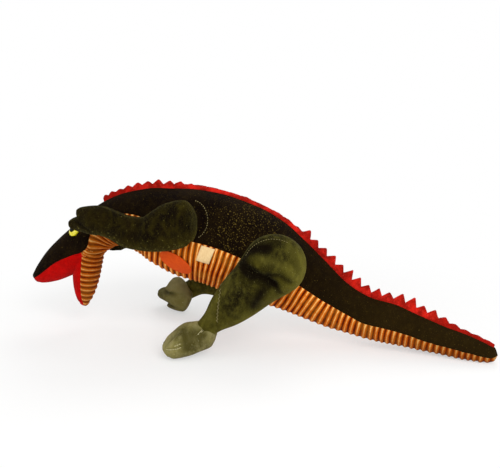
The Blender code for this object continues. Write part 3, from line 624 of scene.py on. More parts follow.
# in hundredths: place down the jaw, reach towards the tongue, the back and each side
jaw_shares = np.array((
    (-50, 55, 55, 60), (-34, 85, 85, 80), (-15, 100, 100, 94), (5, 100, 98, 100),
    (28, 98, 90, 98), (52, 93, 78, 90), (70, 78, 62, 76), (84, 58, 43, 56),
    (94, 35, 24, 32), (100, 12, 8, 11), (101, 0, 0, 0),
)) / 100
jaw_slant_shares = ((-0.5, 0.42), (0.0, 0.36), (0.22, 0.12), (0.5, 0.0), (1.0, 0.06))


def jaw_form(along, around):
    front_depth, back_depth, width = np.clip(curve(jaw_shares, along), 0, None).T
    angle, turn_away, under = ring_angles(around, jaw_seam_degrees)
    down = np.array(Vector((-jaw_lean, 0, -jaw_length)).normalized())
    front = np.array([down[2], 0, -down[0]])
    depth = np.where(np.cos(angle) > 0, front_depth, back_depth) * jaw_depth
    size = np.minimum(depth, width * jaw_breadth)
    away = turn_away * size
    full = ramp(size, 8 * mm)
    ahead = np.cos(angle) * depth
    across = np.sin(angle) * width * jaw_breadth
    points = np.array(jaw_joint) + down * (along * jaw_length)[:, None]
    points = points + front * ahead[:, None] + np.array([0, 1, 0]) * across[:, None]
    slant = np.interp(along, *np.array(jaw_slant_shares).T)
    phase = (along * jaw_length + slant * (ahead - jaw_depth * 0.3)) / rib_pitch
    crest = rib_profile(phase + 0.14 * wander(points, 40, 2.2)) * under
    relief = crest * rib_height * 0.8 * ramp(away, 2.5 * mm) * full
    relief -= hump(away, seam_width) * seam_depth * 0.6 * full
    relief += share(np.cos(angle)) * jaw_felt_bulge * full
    sideways = np.array([0, 1, 0]) * (np.sin(angle) * relief)[:, None]
    relief = front * (np.cos(angle) * relief)[:, None] + sideways
    # painted highlight along the seams, and painted shade over the whole jaw
    hem = np.exp(-away / seam_highlight_width) * under
    stored = {"crest": crest, "hem": hem, "dusk": np.full(len(along), 0.75)}
    return points, relief, stored


jaw_turns = np.concatenate([eased(14), 1 + eased(30)[1:], 2 + eased(14)[1:]])
jaw_rows = np.concatenate([np.arange(-0.5, 0.93, 0.0125), 1.01 - 0.075 * np.linspace(1, 0, 12) ** 2])
jaw = wrap(
    "lower_jaw", jaw_rows, jaw_turns, jaw_form, [lining_felt, ribbed_velour],
    lambda along, around: 1 if 1 < around < 2 else 0,
)
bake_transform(jaw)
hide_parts("jaw_ribbed_skin", "jaw_felt", "jaw_stuffing")

# Ridge: one strip of thick red felt, its upper edge cut into teeth, caught in the seam
# along the back from the neck to the end of the tail.

felt_thickness = 1.7 * mm
ridge_depth = 2.5 * mm
ridge_strip_height = 5.4 * mm
ridge_tooth_height = 6.4 * mm
first_tooth_pitch = 8.0 * mm
tooth_pitch = 15.0 * mm
pitch_change = 40 * mm
ridge_start_share = 0.188
ridge_end_share = 0.992
ridge_row_share = 0.0011
# place along the toy, height of the strip and of the teeth on it
ridge_height_shares = (
    (0.18, 0.70, 0.40), (0.235, 0.90, 0.50), (0.270, 1.00, 0.90), (0.300, 1.00, 1.00),
    (0.330, 0.72, 0.70),
    (0.40, 0.60, 0.60), (0.52, 0.66, 0.65), (0.57, 1.00, 1.20),
    (0.63, 1.00, 1.25), (0.67, 1.20, 1.35), (0.855, 1.15, 1.30), (0.885, 0.95, 0.80),
    (0.912, 0.75, 0.40), (0.935, 0.66, 0.16), (1.01, 0.45, 0.10),
)
# how far the felt flops over to the far side, in degrees
ridge_flop_degrees = (
    (0.18, 0), (0.27, 2), (0.300, 14), (0.328, 64), (0.36, 80), (0.50, 80), (0.540, 66), (0.565, 14),
    (0.60, -6), (0.66, 8), (0.72, -6), (0.80, 8), (0.90, 24), (1.01, 30),
)
ridge_line = spine_at(spine_places) + trunk_directions(spine_places)[1] * (
    curve(trunk_shares, spine_places)[:, 1:2] * girth
)
ridge_steps = np.linalg.norm(np.diff(ridge_line, axis=0), axis=1)
ridge_lengths = np.concatenate([[0], np.cumsum(ridge_steps)])
ridge_distances = ridge_lengths - np.interp(ridge_start_share, spine_places, ridge_lengths)
narrower = np.exp(-np.clip(ridge_distances, 0, None) / pitch_change)
tooth_pitches = tooth_pitch - (tooth_pitch - first_tooth_pitch) * narrower
teeth_before = np.concatenate([[0], np.cumsum(ridge_steps / tooth_pitches[1:])])
teeth_before -= np.interp(ridge_start_share, spine_places, teeth_before)


def ridge_form(along, around):
    """A strip that stands in the back seam; around counts 0 at its sewn edge to 1 at its top."""
    _, above, _, _ = curve(trunk_shares, along).T
    forward, upward, leftward = trunk_directions(along)
    top = spine_at(along) + upward * (above * girth)[:, None]
    phase = np.interp(along, spine_places, teeth_before)
    count = np.floor(phase)
    ragged = 1 + 0.20 * np.sin(count * 2.3) + 0.12 * np.sin(count * 5.1)
    tooth = 1 - np.abs(2 * (phase - count) - 1)
    tooth = share(tooth * 1.12) ** 0.95
    places, strip_scales, tooth_scales = np.array(ridge_height_shares).T
    high = ridge_strip_height * np.interp(along, places, strip_scales)
    high = high + ridge_tooth_height * np.interp(along, places, tooth_scales) * tooth * ragged
    reach = (high + ridge_depth) * around - ridge_depth
    flop = np.interp(along, *np.array(ridge_flop_degrees).T) + 9 * np.sin(count * 1.7)
    flop = np.radians(flop) * ramp(reach, 6 * mm)
    backward = ramp(along - 0.45, 0.1) * 0.22 * np.clip(reach, 0, None)
    points = top + upward * (np.cos(flop) * reach)[:, None] - leftward * (np.sin(flop) * reach)[:, None]
    return points + forward * backward[:, None]


def thick_sheet(shape, name, thickness, material):
    """A flat piece of one thickness from a bmesh."""
    bmesh.ops.recalc_face_normals(shape, faces=shape.faces)
    geometry = shape.verts[:] + shape.edges[:] + shape.faces[:]
    bmesh.ops.solidify(shape, geom=geometry, thickness=thickness)
    return finished(shape, name, [material])


cut_edge_angle = math.radians(40)


def ridge_strip(name, start, end, node):
    rows = np.linspace(start, end, max(2, round((end - start) / ridge_row_share)))
    shape, along, around = flat_cloth(rows, np.linspace(0, 1, 8))
    for vert, point in zip(shape.verts, ridge_form(along, around)):
        vert.co = point
    piece = thick_sheet(shape, name, felt_thickness, ridge_felt)
    piece.data.set_sharp_from_angle(angle=cut_edge_angle)
    places = np.array([vert.co.x for vert in piece.data.vertices]) / overall_length + 0.5
    # painted shade: the felt darker at the front and rear ends of the ridge
    shade = np.clip((0.225 - places) / 0.03, 0, 0.6) + np.clip((places - 0.86) / 0.08, 0, 0.65)
    layer = piece.data.attributes.new("shade", "FLOAT", "POINT")
    layer.data.foreach_set("value", shade.astype(np.float32))
    bend(piece)
    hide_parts(node)


ridge_strip("ridge_front", ridge_start_share, front_split, "back_ridge")
ridge_strip("ridge_middle", front_split, rear_split, "tail_ridge")
ridge_strip("ridge_rear", rear_split, ridge_end_share, "tail_tip_ridge")

# Eyes: a moulded, domed ring of yellow plastic round a black pupil. The washer that locks
# each one from inside the head keeps the place and shape that the CAD gives it.

eye_along_share = 0.1265
eye_degrees = 40
eye_radius = 9.3 * mm
eye_height = 4.2 * mm
pupil_radius = 5.2 * mm
eye_lift = 0.3 * mm
ring_back = -1.5 * mm
pupil_sink = 1 * mm
pupil_stand = 0.25 * mm


def skin_frame(along, degrees, lift=0.0):
    """Frame on the trunk's skin: X towards the tail, Z out of the skin."""
    def spot(place, turn):
        _, above, below, beside = curve(trunk_shares, [place]).T
        _, upward, leftward = trunk_directions(np.array([place]))
        rise, side = math.cos(math.radians(turn)), math.sin(math.radians(turn))
        height = (above if rise > 0 else below) * girth
        point = spine_at([place]) + upward * rise * height + leftward * side * beside * breadth
        return Vector(point[0])

    middle = spot(along, degrees)
    lengthwise = (spot(along + 0.01, degrees) - spot(along - 0.01, degrees)).normalized()
    across = spot(along, degrees + 5) - spot(along, degrees - 5)
    outward = lengthwise.cross(across).normalized()
    if outward.dot(middle - Vector(spine_at([along])[0])) < 0:
        outward.negate()
    turn = Matrix((lengthwise, outward.cross(lengthwise), outward)).transposed().to_4x4()
    return Matrix.Translation(middle + outward * lift) @ turn


def turned(name, profile, place, material):
    """Solid of revolution about its own Z, spun from a profile of radii and heights."""
    shape = bmesh.new()
    verts = [shape.verts.new((radius, 0, height)) for radius, height in profile]
    edges = [shape.edges.new(pair) for pair in zip(verts, verts[1:])]
    bmesh.ops.spin(
        shape, geom=verts + edges, axis=(0, 0, 1), cent=(0, 0, 0),
        angle=math.tau, steps=48, use_merge=True,
    )
    bmesh.ops.remove_doubles(shape, verts=shape.verts, dist=merge_distance)
    bmesh.ops.recalc_face_normals(shape, faces=shape.faces)
    bmesh.ops.transform(shape, matrix=place, verts=shape.verts)
    return finished(shape, name, [material])


yellow = Finish("yellow_plastic", roughness=0.25, coat_weight=0.25, coat_roughness=0.08)
streaks = yellow.noise(500, 3.0)
yellow.colour(yellow.mix(yellow.step(streaks, 0.3, 0.8), paint("dccc00"), paint("f8ec10")))
yellow.bump(yellow.noise(200, 1.0) * 0.05)
black = Finish("black_plastic", gloss=0.06, roughness=0.45)
black.colour(black.mix(black.step(black.noise(300, 2.0), 0.4, 0.7), paint("050505"), paint("0c0a08")))
washer = Finish("washer_plastic", roughness=0.45)
washer.colour(washer.mix(washer.noise(400, 2.0), paint("d0cdc4"), paint("dedbd2")))
washer.bump(washer.noise(900, 2.0) * 0.1)

ball = (eye_radius ** 2 + eye_height ** 2) / (2 * eye_height)
ball_centre = eye_lift + eye_height - ball
for side, side_name in ((1, "left"), (-1, "right")):
    place = skin_frame(eye_along_share, side * eye_degrees)
    slope = np.linspace(pupil_radius, eye_radius, 10)
    rim = [(radius, ball_centre + math.sqrt(ball ** 2 - radius ** 2)) for radius in slope]
    profile = [(pupil_radius, eye_lift)] + rim + [(eye_radius, ring_back), (pupil_radius, ring_back)]
    iris = turned("eye_ring_" + side_name, profile + profile[:1], place, yellow.material)
    cap = np.linspace(0, pupil_radius * 0.98, 8)
    dome = [(radius, ball_centre + pupil_stand + math.sqrt(ball ** 2 - radius ** 2)) for radius in cap]
    back = [(cap[-1], eye_lift - pupil_sink), (0, eye_lift - pupil_sink)]
    pupil = turned("eye_pupil_" + side_name, dome + back, place, black.material)
    for piece, node, slot in ((iris, "iris_", "yellow_plastic"), (pupil, "pupil_", "black_plastic")):
        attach(piece, "head")
        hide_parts(node + side_name)
    inner = frame["nodes"]["eye_washer_" + side_name]
    inner.data.materials.clear()
    inner.data.materials.append(washer.material)

# Arms: olive velour, the legs' cloth painted darker as shade, each a front and a back panel
# sewn round the edge, the hand ending in a blunt lobe and one longer finger. The root is sewn
# flat to the flank.

# the olive velour painted darker, as shade
arm_velour = velour("arm_velour", "060100", "1b1301", "403808", "98904a", 0.22, 0.75)
arm_length = 143 * mm
arm_depth = 26.8 * mm
arm_breadth = 19 * mm
shoulder_sink = 9 * mm
flank_plane = 48.95 * mm
# place down the arm, its rise, half depth and half width, and how far it is sunk in the flank
arm_shares = (
    (-0.0940, -0.016, 0.00, 0.00, 1.0),
    (-0.0925, -0.016, 0.26, 0.34, 1.0),
    (-0.0800, -0.012, 0.62, 0.68, 1.0),
    (-0.0450, 0.004, 0.88, 0.91, 1.0),
    (0.0000, 0.014, 1.02, 1.00, 1.0),
    (0.1160, -0.019, 1.11, 0.98, 0.9),
    (0.2130, -0.056, 1.03, 0.93, 0.5),
    (0.3640, -0.091, 0.82, 0.84, 0.0),
    (0.5070, -0.076, 0.77, 0.80, 0.0),
    (0.6400, -0.025, 0.69, 0.76, 0.0),
    (0.7730, 0.015, 0.710, 0.74, 0.0),
    (0.8980, 0.012, 0.645, 0.66, 0.0),
    (0.9480, 0.001, 0.57, 0.55, 0.0),
    (0.9780, -0.006, 0.42, 0.38, 0.0),
    (0.9850, -0.006, 0.00, 0.00, 0.0),
)
finger_reach = 11 * mm
finger_level = -4.2 * mm
finger_half = 7.2 * mm
finger_parting = 5.5 * mm
hand_start_share = 0.80
palm_start_share = 0.66
root_shortening = 0.8
held_depth = 6 * mm
most_filling = 1.5 * mm
# the crease beside the finger and the fold of the elbow, as x and z from the shoulder
hand_crease = ((-0.142, 0.0045), (-0.128, -0.0035), (-0.121, -0.0078))
elbow_fold = ((-0.052, 0.012), (-0.056, -0.004), (-0.066, -0.018))
limb_turns = np.linspace(0, 1, 85)
frames_of_filling = 16


def near_line(points, line, width):
    """1 for points on a line through the given corners, fading to 0 away from it."""
    nearest = np.full(len(points), 1.0)
    for start, end in zip(line, line[1:]):
        start, way = np.array(start, float), np.array(end, float) - np.array(start, float)
        part = share((points - start) @ way / (way @ way))
        gap = np.linalg.norm(points - start - part[:, None] * way, axis=1)
        nearest = np.minimum(nearest, gap)
    return hump(nearest, width)


def filled(piece, is_held, most):
    """Fills the sewn cloth until it is tight; no point moves further than most.

    is_held says which places are sewn down and stay where they are.
    """
    start = np.array([vert.co for vert in piece.data.vertices])
    held = piece.vertex_groups.new(name="held")
    held.add([int(index) for index in np.nonzero(is_held(start))[0]], 1.0, "REPLACE")
    cloth = piece.modifiers.new("filling", "CLOTH")
    cloth.settings.quality = 4
    cloth.settings.mass = 0.2
    cloth.settings.tension_stiffness = 18
    cloth.settings.compression_stiffness = 18
    cloth.settings.shear_stiffness = 8
    cloth.settings.bending_stiffness = 0.05
    cloth.settings.use_pressure = True
    cloth.settings.uniform_pressure_force = 4
    cloth.settings.effector_weights.gravity = 0
    cloth.settings.vertex_group_mass = held.name
    cloth.point_cache.frame_start = 1
    cloth.point_cache.frame_end = frames_of_filling
    for number in range(1, frames_of_filling + 1):
        scene.frame_set(number)
    swollen = piece.evaluated_get(bpy.context.evaluated_depsgraph_get()).to_mesh()
    move = np.array([vert.co for vert in swollen.vertices]) - start
    piece.evaluated_get(bpy.context.evaluated_depsgraph_get()).to_mesh_clear()
    piece.modifiers.remove(cloth)
    piece.vertex_groups.remove(held)
    scene.frame_set(1)
    size = np.linalg.norm(move, axis=1, keepdims=True)
    move = move * most * np.tanh(size / most) / np.maximum(size, 0.001 * mm)
    ends = start + move
    ends[:, 2] = np.maximum(ends[:, 2], 0)
    for vert, end in zip(piece.data.vertices, ends):
        vert.co = end


for side, side_name, turn_degrees in ((1, "left", 0), (-1, "right", 24)):
    joint = Vector(joint_places["shoulder_" + side_name])
    turn = np.array(Matrix.Rotation(math.radians(-turn_degrees), 3, "Y"))

    def arm_form(along, around, side=side, joint=joint, turn=turn):
        rise, depth, width, sink = curve(arm_shares, along).T
        depth, width = np.clip(depth, 0, None), np.clip(width, 0, None)
        angle = around % 1 * math.tau
        nudge = 0.004
        ahead, behind = [curve(arm_shares, along + step)[:, 0] for step in (nudge, -nudge)]
        slope = (ahead - behind) / (2 * nudge)
        tilt = np.arctan(np.where((along < 0.03) | (along > 0.95), 0, slope))
        high = np.cos(angle) * depth * arm_depth
        half = width * arm_breadth
        x = -np.where(along < 0, along * root_shortening, along) * arm_length + np.sin(tilt) * high
        z = rise * arm_length + np.cos(tilt) * high
        tip = ramp(along - hand_start_share, 0.18) ** 2
        finger = np.exp(-(((z - finger_level) / finger_half) ** 4)) * tip
        parting = hump(z - finger_parting, 2.2 * mm) * tip
        x = x - finger * finger_reach + parting * 0.8 * mm
        reach_out = np.sin(angle) * half * (1 - 0.35 * parting) * (1 - 0.1 * finger)
        y = half + 0.7 * mm - sink * shoulder_sink + reach_out
        flat = np.stack([x, z], 1)
        outer = share(np.sin(angle)) ** 0.5
        seam = hump(np.sin(angle) * half, 1.6 * mm) * ramp(half, 8 * mm)
        crease = near_line(flat, hand_crease, 1.8 * mm) * outer
        elbow = near_line(flat, elbow_fold, 6 * mm) * outer
        local = np.stack([x, np.zeros(len(x)), z], 1) @ turn.T
        points = np.stack([local[:, 0] + joint.x, -side * (flank_plane + y), local[:, 2] + joint.z], 1)
        soft = wander(points, 40, 2.0 + side) * 1.6 * mm + wander(points, 95, 5.0) * 0.7 * mm
        press = soft * np.sign(np.sin(angle)) * ramp(half, 10 * mm)
        press = press - crease * 1.6 * mm - elbow * 2.2 * mm
        relief = np.zeros((len(x), 3))
        relief[:, 1] = -side * press
        relief[:, 2] = -np.sign(np.cos(angle)) * seam * 1.1 * mm
        # painted highlight on the lower rim, the seam, the root and the hand's end
        rim = share(-np.cos(angle)) ** 1.6
        root = hump(np.hypot(x, z) - 26 * mm, 7 * mm) * (x > -8 * mm)
        gleam = rim * 0.34 + seam * 0.2 + root * 0.28 + ramp(along - 0.9, 0.1) * 0.12
        # painted shade over the hand, in the elbow fold and in the crease beside the finger
        palm = ramp(along - palm_start_share, 0.16) * 0.35
        shade = share(elbow * 0.4 + crease * 0.6 + palm)
        # the lower rim also gets more pale specks, as painted glints
        stored = {"shade": shade, "gleam": gleam * (1 - palm), "dust": rim}
        return points, relief, stored

    rows = np.concatenate([
        -0.094 + 0.094 * np.linspace(0, 1, 18) ** 1.6, np.arange(0.012, 0.9, 0.012),
        0.984 - 0.086 * np.linspace(1, 0, 20) ** 2,
    ])
    arm = wrap("arm_" + side_name, rows, limb_turns, arm_form, [arm_velour])
    filled(arm, lambda spots: np.abs(spots[:, 1]) < flank_plane + held_depth, most_filling)
    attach(arm, "arm_" + side_name)
    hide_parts("arm_" + side_name + "_skin", "arm_" + side_name + "_stuffing")

# Legs: olive velour, a round thigh that folds where it bends and tapers to the ankle, sewn
# flat to the flank. The feet, of the same velour painted paler for the light that falls on
# them, are sewn on at the ankle, and rows of stitches draw in the near one; the far one is
# parted into three toes.

leg_velour = velour("leg_velour", "0c0600", "3c370a", "6c6626", "a39c62", 0.20, 0.76)
# the feet's velour: the leg's olive cloth painted paler, as painted light
foot_velour = velour("foot_velour", "443e18", "77703c", "a69d6c", "d0c89c", 0.24, 0.76)
thigh_radius = 40 * mm
thigh_breadth = 26 * mm
thigh_sink = 12 * mm
far_thigh_place = 0.60
far_thigh_fullness = 11 * mm
ankle_back = 4 * mm
# in hundredths: place from hip to ankle, half depth and half width
leg_shares = np.array((
    (0, 100, 100), (6, 97, 100), (12, 92, 98), (25, 82, 93),
    (45, 72, 82), (63, 56, 70), (77, 37, 54), (92, 30, 46),
)) / 100
# folds on the outer side of the thigh, as corners in mm from the hip: the hollow
# where the leg bends, the plump edge below it, and the creases that run from it
thigh_hollow = np.array(((-27, -1), (-18, -6), (-8, -11), (0, -16))) / 1000
thigh_plump = np.array(((-50, -12), (-36, -17), (-22, -24), (-13, -34))) / 1000
thigh_creases = [np.array(line) / 1000 for line in (
    ((-34, 18), (-22, 24), (-8, 26)),
    ((-40, 8), (-30, 0), (-24, -4)),
    ((-6, -10), (4, -18), (10, -30)),
    ((-4, -4), (10, -6), (22, -16)),
)]
# painted shade along the thigh's upper edges, where less light falls, as corners from the hip
thigh_darks = [np.array(line) / 1000 for line in (
    ((-36, 12), (-30, 22), (-18, 28), (-4, 29)),
    ((-40, 6), (-32, -1), (-25, -4)),
    ((-12, -26), (-22, -44)),
)]
# painted highlights: a light band across the thigh and lighter rims along its right and lower edges
thigh_painted_highlights = [np.array(line) / 1000 for line in (
    ((-15, 18), (4, 12), (18, 3), (28, -12)),
    ((18, 28), (32, 14), (37, -2), (36, -18)),
    ((36, -20), (10, -50), (-20, -66), (-50, -80)),
    ((-52, -16), (-66, -34), (-78, -58)),
)]
# seam across the shin, where the cloth of the ankle is joined on
ankle_seam = ((-0.0645, -0.008), (-0.0635, -0.027), (-0.0650, -0.046), (-0.0665, -0.070))
foot_length = 74 * mm
foot_height = 18.5 * mm
foot_breadth = 23 * mm
# in hundredths: place from the heel to the toes, half height above and below, half width
foot_shares = np.array((
    (-1, 0, 0, 0), (0, 20, 20, 20), (5, 46, 50, 46), (16, 78, 84, 72),
    (36, 100, 100, 88), (60, 96, 100, 100), (80, 66, 92, 97), (93, 38, 68, 74),
    (100, 14, 28, 30), (101, 0, 0, 0),
)) / 100
# on the near foot, as x and z seen from its side: the hollows that the rows of stitches
# draw in, the stitches that part its toes and close its instep, and its outline as an oval
foot_hollows = (
    ((-0.0748, 0.0350), (-0.0697, 0.0244), (-0.0717, 0.0160), (-0.0636, 0.0149)),
    ((-0.0620, 0.0361), (-0.0656, 0.0287), (-0.0697, 0.0244)),
    ((-0.0513, 0.0319), (-0.0554, 0.0287)),
)
foot_stitches = (
    ((-0.0960, 0.0155), (-0.0877, 0.0174), (-0.0798, 0.0189), (-0.0771, 0.0202)),
    ((-0.0850, 0.0215), (-0.0776, 0.0246)),
    ((-0.0585, 0.0332), (-0.0548, 0.0372), (-0.0496, 0.0413), (-0.0470, 0.0414)),
    ((-0.0549, 0.0356), (-0.0506, 0.0385), (-0.0480, 0.0392)),
)
foot_oval_middle = (-0.0692, 0.0282)
foot_oval_tilt = math.radians(18.8)
foot_oval_length = 73 * mm
foot_oval_height = 45 * mm
near_heel_limit = -44 * mm
instep_place = -83 * mm
instep_rise = 2.5 * mm
# on the far foot, seen the same way: heights of the two partings, how far back from the
# middle toe's end they reach, where the toes above and below it end and from which heights
# they round off, the line of the heel, and the plump upper toe
far_partings = (0.0300, 0.0125)
far_parting_end = -0.1330
far_toe_end = -0.1400
far_upper_edge = 33 * mm
far_lower_edge = 9 * mm
far_heel = -0.111
far_heel_slope = 0.45
far_heel_edge = 11 * mm
upper_toe_place = -119 * mm
upper_toe_rise = 7 * mm
foot_turns = np.linspace(0, 1, 121)
foot_rows = np.concatenate([
    -0.01 + 0.1 * np.linspace(0, 1, 14) ** 2,
    np.arange(0.1, 0.9, 0.02),
    1.01 - 0.1 * np.linspace(1, 0, 14) ** 2,
])
floor_sink = 0.4 * mm


def round_off(height, reach, draw):
    """How far a rounded edge is drawn in: nothing up to height 0, all of it at the reach."""
    return (1 - np.sqrt(1 - ramp(height, reach) ** 2)) * draw


def near_foot(points, stored, middle):
    """Stitched hollows, drawn-in heel and risen instep, on the side that faces outward."""
    flat = points[:, [0, 2]]
    x, z = flat.T
    face = ramp(middle - points[:, 1], 8 * mm)
    hollows = share(sum(near_line(flat, line, 4.2 * mm) for line in foot_hollows) * face)
    rows = sum(near_line(flat, line, 1.5 * mm) for line in foot_stitches) * face
    points[:, 1] += hollows * 3.2 * mm + rows * 1.6 * mm
    points[:, 0] -= np.clip(x - near_heel_limit, 0, None) * 0.4
    points[:, 2] += hump(x - instep_place, 14 * mm) * ramp(z - 10 * mm, 20 * mm) * instep_rise
    cosine, sine = math.cos(foot_oval_tilt), math.sin(foot_oval_tilt)
    u, v = np.array([[cosine, sine], [-sine, cosine]]) @ (flat - np.array(foot_oval_middle)).T
    oval = np.hypot(u / foot_oval_length, v / foot_oval_height) * 2
    # painted shade in the stitched hollows and along the stitch rows, painted highlight round the
    # oval's rim and more on its upper part
    stored["shade"] = share(hollows * 0.75 + rows * 0.2)
    stored["gleam"] = ramp(oval - 0.5, 0.4) * (0.12 + np.clip(v / (24 * mm) + 0.3, 0, 0.5))


def far_foot(points, stored, middle):
    """Three rounded toes one above the other, and a short heel that slants back."""
    x, z = points[:, [0, 2]].T
    high, low = far_partings
    blur = 0.8 * mm
    beside = 1 / (1 + np.exp(-(z - high) / blur)) + 1 / (1 + np.exp((z - low) / blur))
    toes_end = far_toe_end + round_off(z - far_upper_edge, 12 * mm, 16 * mm)
    toes_end = toes_end + round_off(far_lower_edge - z, far_lower_edge, 12 * mm)
    points[:, 0] += np.clip(toes_end - x, 0, None) * share(beside) * 0.92
    part = hump(z - high, 2.2 * mm) + hump(z - low, 2.2 * mm)
    heel = far_heel + (z - 4 * mm) * far_heel_slope
    heel = heel - round_off(far_heel_edge - z, far_heel_edge, 15 * mm)
    points[:, 0] -= np.clip(points[:, 0] - heel, 0, None) * 0.8
    points[:, 0] += np.clip(far_parting_end - points[:, 0], 0, None) * share(part)
    near_end = ramp(far_parting_end + 16 * mm - x, 12 * mm)
    face = ramp(middle - points[:, 1], 6 * mm)
    points[:, 1] += part * near_end * face * 3.5 * mm
    # painted shade at the end of the middle toe, between the partings
    dark = ramp(far_parting_end - 4 * mm - x, 8 * mm) * hump(z - (high + low) / 2, 6 * mm) * 0.5
    points[:, 2] += hump(x - upper_toe_place, 13 * mm) * ramp(z - 20 * mm, 20 * mm) * upper_toe_rise
    # painted shade in the partings and over the whole far foot, which lies in shade
    stored["shade"] = share(part * near_end * 0.75 + dark + 0.32)
    # painted highlight on the upper toe
    stored["gleam"] = stored["gleam"] + np.clip((points[:, 2] - high - 4 * mm) / (10 * mm), 0, 0.3)


# reach ahead of the hip, distance out from the middle, turns in degrees, and the middle
# toe's half width with the depth of its partings
for side, side_name, reach, foot_out, turn_out, dip, roll, toe_half, toe_parting in (
    (1, "left", 101 * mm, 85 * mm, 17, 18, 0, 7.6 * mm, 1 * mm),
    (-1, "right", 133 * mm, 81 * mm, 45, 0, 72, 7.0 * mm, 3 * mm),
):
    joint = Vector(joint_places["hip_" + side_name])
    turn = (
        Matrix.Rotation(math.radians(side * turn_out), 3, "Z")
        @ Matrix.Rotation(math.radians(-dip), 3, "Y")
        @ Matrix.Rotation(math.radians(side * roll), 3, "X")
    )
    foot_middle = Vector((joint.x - reach, -side * foot_out, 0))

    def foot_form(along, around, side=side, turn=turn, half=toe_half, depth=toe_parting):
        above, below, width = np.clip(curve(foot_shares, along), 0, None).T
        if side < 0:
            above = below
        angle = around % 1 * math.tau
        rise = np.cos(angle) * np.where(np.cos(angle) > 0, above, below) * foot_height
        across = np.sin(angle) * width * foot_breadth
        x = (0.5 - along) * foot_length
        toes = ramp(along - 0.56, 0.25)
        lane = np.abs(across) / half
        parting = hump(lane - 1, 0.34) * toes
        x = x + parting * depth * toes ** 2
        points = np.stack([x, across, rise], 1)
        press = parting * 0.42 * rise - wander(points, 60, 4.0 + side) * 1.0 * mm
        relief = np.zeros((len(x), 3))
        relief[:, 2] = -press
        # painted highlight on the rims and the toes, painted shade in the partings
        rim = np.abs(np.sin(angle)) ** 4
        stored = {"shade": parting * 0.5, "gleam": rim * 0.36 + toes * 0.16}
        turned_round = np.array(turn).T
        return points @ turned_round, relief @ turned_round, stored

    probe, dents, _ = foot_form(*[grid.ravel() for grid in np.meshgrid(foot_rows, foot_turns)])
    foot_middle.z = -(probe + dents)[:, 2].min() - floor_sink
    lift = np.array(foot_middle)

    def placed_foot(along, around, form=foot_form, lift=lift, side=side):
        points, relief, stored = form(along, around)
        points = points + relief + lift
        (near_foot if side > 0 else far_foot)(points, stored, lift[1])
        return points, np.zeros_like(points), stored

    foot = wrap("foot_" + side_name, foot_rows, foot_turns, placed_foot, [foot_velour])
    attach(foot, "leg_" + side_name)
    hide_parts("foot_" + side_name + "_skin", "foot_" + side_name + "_stuffing")

    hip = np.array([joint.x, -side * (flank_plane + thigh_breadth - thigh_sink), joint.z])
    way = lift + np.array([ankle_back, 0, 0]) - hip
    length = np.linalg.norm(way)
    down = way / length

    def leg_form(along, around, side=side, hip=hip, down=down, length=length, joint=joint):
        depth, width = np.clip(curve(leg_shares, np.clip(along, 0, None)), 0, None).T
        cap = np.sqrt(share(1 - (np.clip(along, None, 0) * length / thigh_radius) ** 2))
        depth, width = depth * cap, width * cap
        angle = around % 1 * math.tau
        upward = np.array([0, 0, 1]) - down * down[2]
        upward = upward / np.linalg.norm(upward)
        across = np.cross(down, upward)
        points = hip + down * (along * length)[:, None]
        full = hump(along - far_thigh_place, 0.12) * share(-np.cos(angle)) * (side < 0)
        rise = np.cos(angle) * depth * thigh_radius - full * far_thigh_fullness
        points = points + upward * rise[:, None]
        points = points + across * (np.sin(angle) * width * thigh_breadth)[:, None]
        outward = -side * np.sign(across[1])
        outer = share(np.sin(angle) * outward) ** 0.5
        flat = points[:, [0, 2]] - np.array([joint.x, joint.z])
        hollow = near_line(flat, thigh_hollow, 7 * mm) * outer
        plump = near_line(flat, thigh_plump, 8 * mm) * outer
        creases = sum(near_line(flat, line, 3.6 * mm) for line in thigh_creases) * outer
        # painted shade and painted highlights, laid along the lines above
        darks = sum(near_line(flat, line, 8 * mm) for line in thigh_darks) * outer ** 0.5
        painted_highlights = sum(near_line(flat, line, 6 * mm) for line in thigh_painted_highlights) * outer ** 0.5
        seam = near_line(flat, ankle_seam, 1.3 * mm) * outer
        soft = wander(points, 40, 8.0 + side) * 1.8 * mm + wander(points, 90, 6.0) * 0.7 * mm
        press = hollow * 9.0 * mm - plump * 4.0 * mm + creases * 3.3 * mm + seam * 0.8 * mm
        press = press - soft * width
        relief = np.zeros((len(angle), 3))
        relief[:, 1] = side * press
        # painted highlight on the lower side, where the light falls
        lower = share(-np.cos(angle)) ** 1.5
        # painted shade in the hollow, the creases, along the upper edges and at the seam
        shade = share(hollow * 1.0 + creases * 0.75 + darks * 1.0 + seam * 0.4)
        gleam = np.clip(painted_highlights * 0.34 + lower * 0.42 + share(along - 0.55) * 0.5, 0, 0.7)
        return points, relief, {"shade": shade, "gleam": gleam * (1 - shade)}

    reach_back = thigh_radius / length
    round_rows = -reach_back * np.cos(np.linspace(0, math.pi / 2, 26))
    leg_rows = np.concatenate([round_rows, np.arange(0.013, 0.925, 0.013)])
    leg = wrap("leg_" + side_name, leg_rows, limb_turns, leg_form, [leg_velour])
    filled(leg, lambda spots: np.abs(spots[:, 1]) < flank_plane + held_depth, most_filling)
    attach(leg, "leg_" + side_name)
    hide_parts("leg_" + side_name + "_skin", "leg_" + side_name + "_stuffing")

# Sewing thread: short stitches that show where the limbs are closed to the flank, in a
# zigzag across the near shin and, in paler thread, on the near foot.

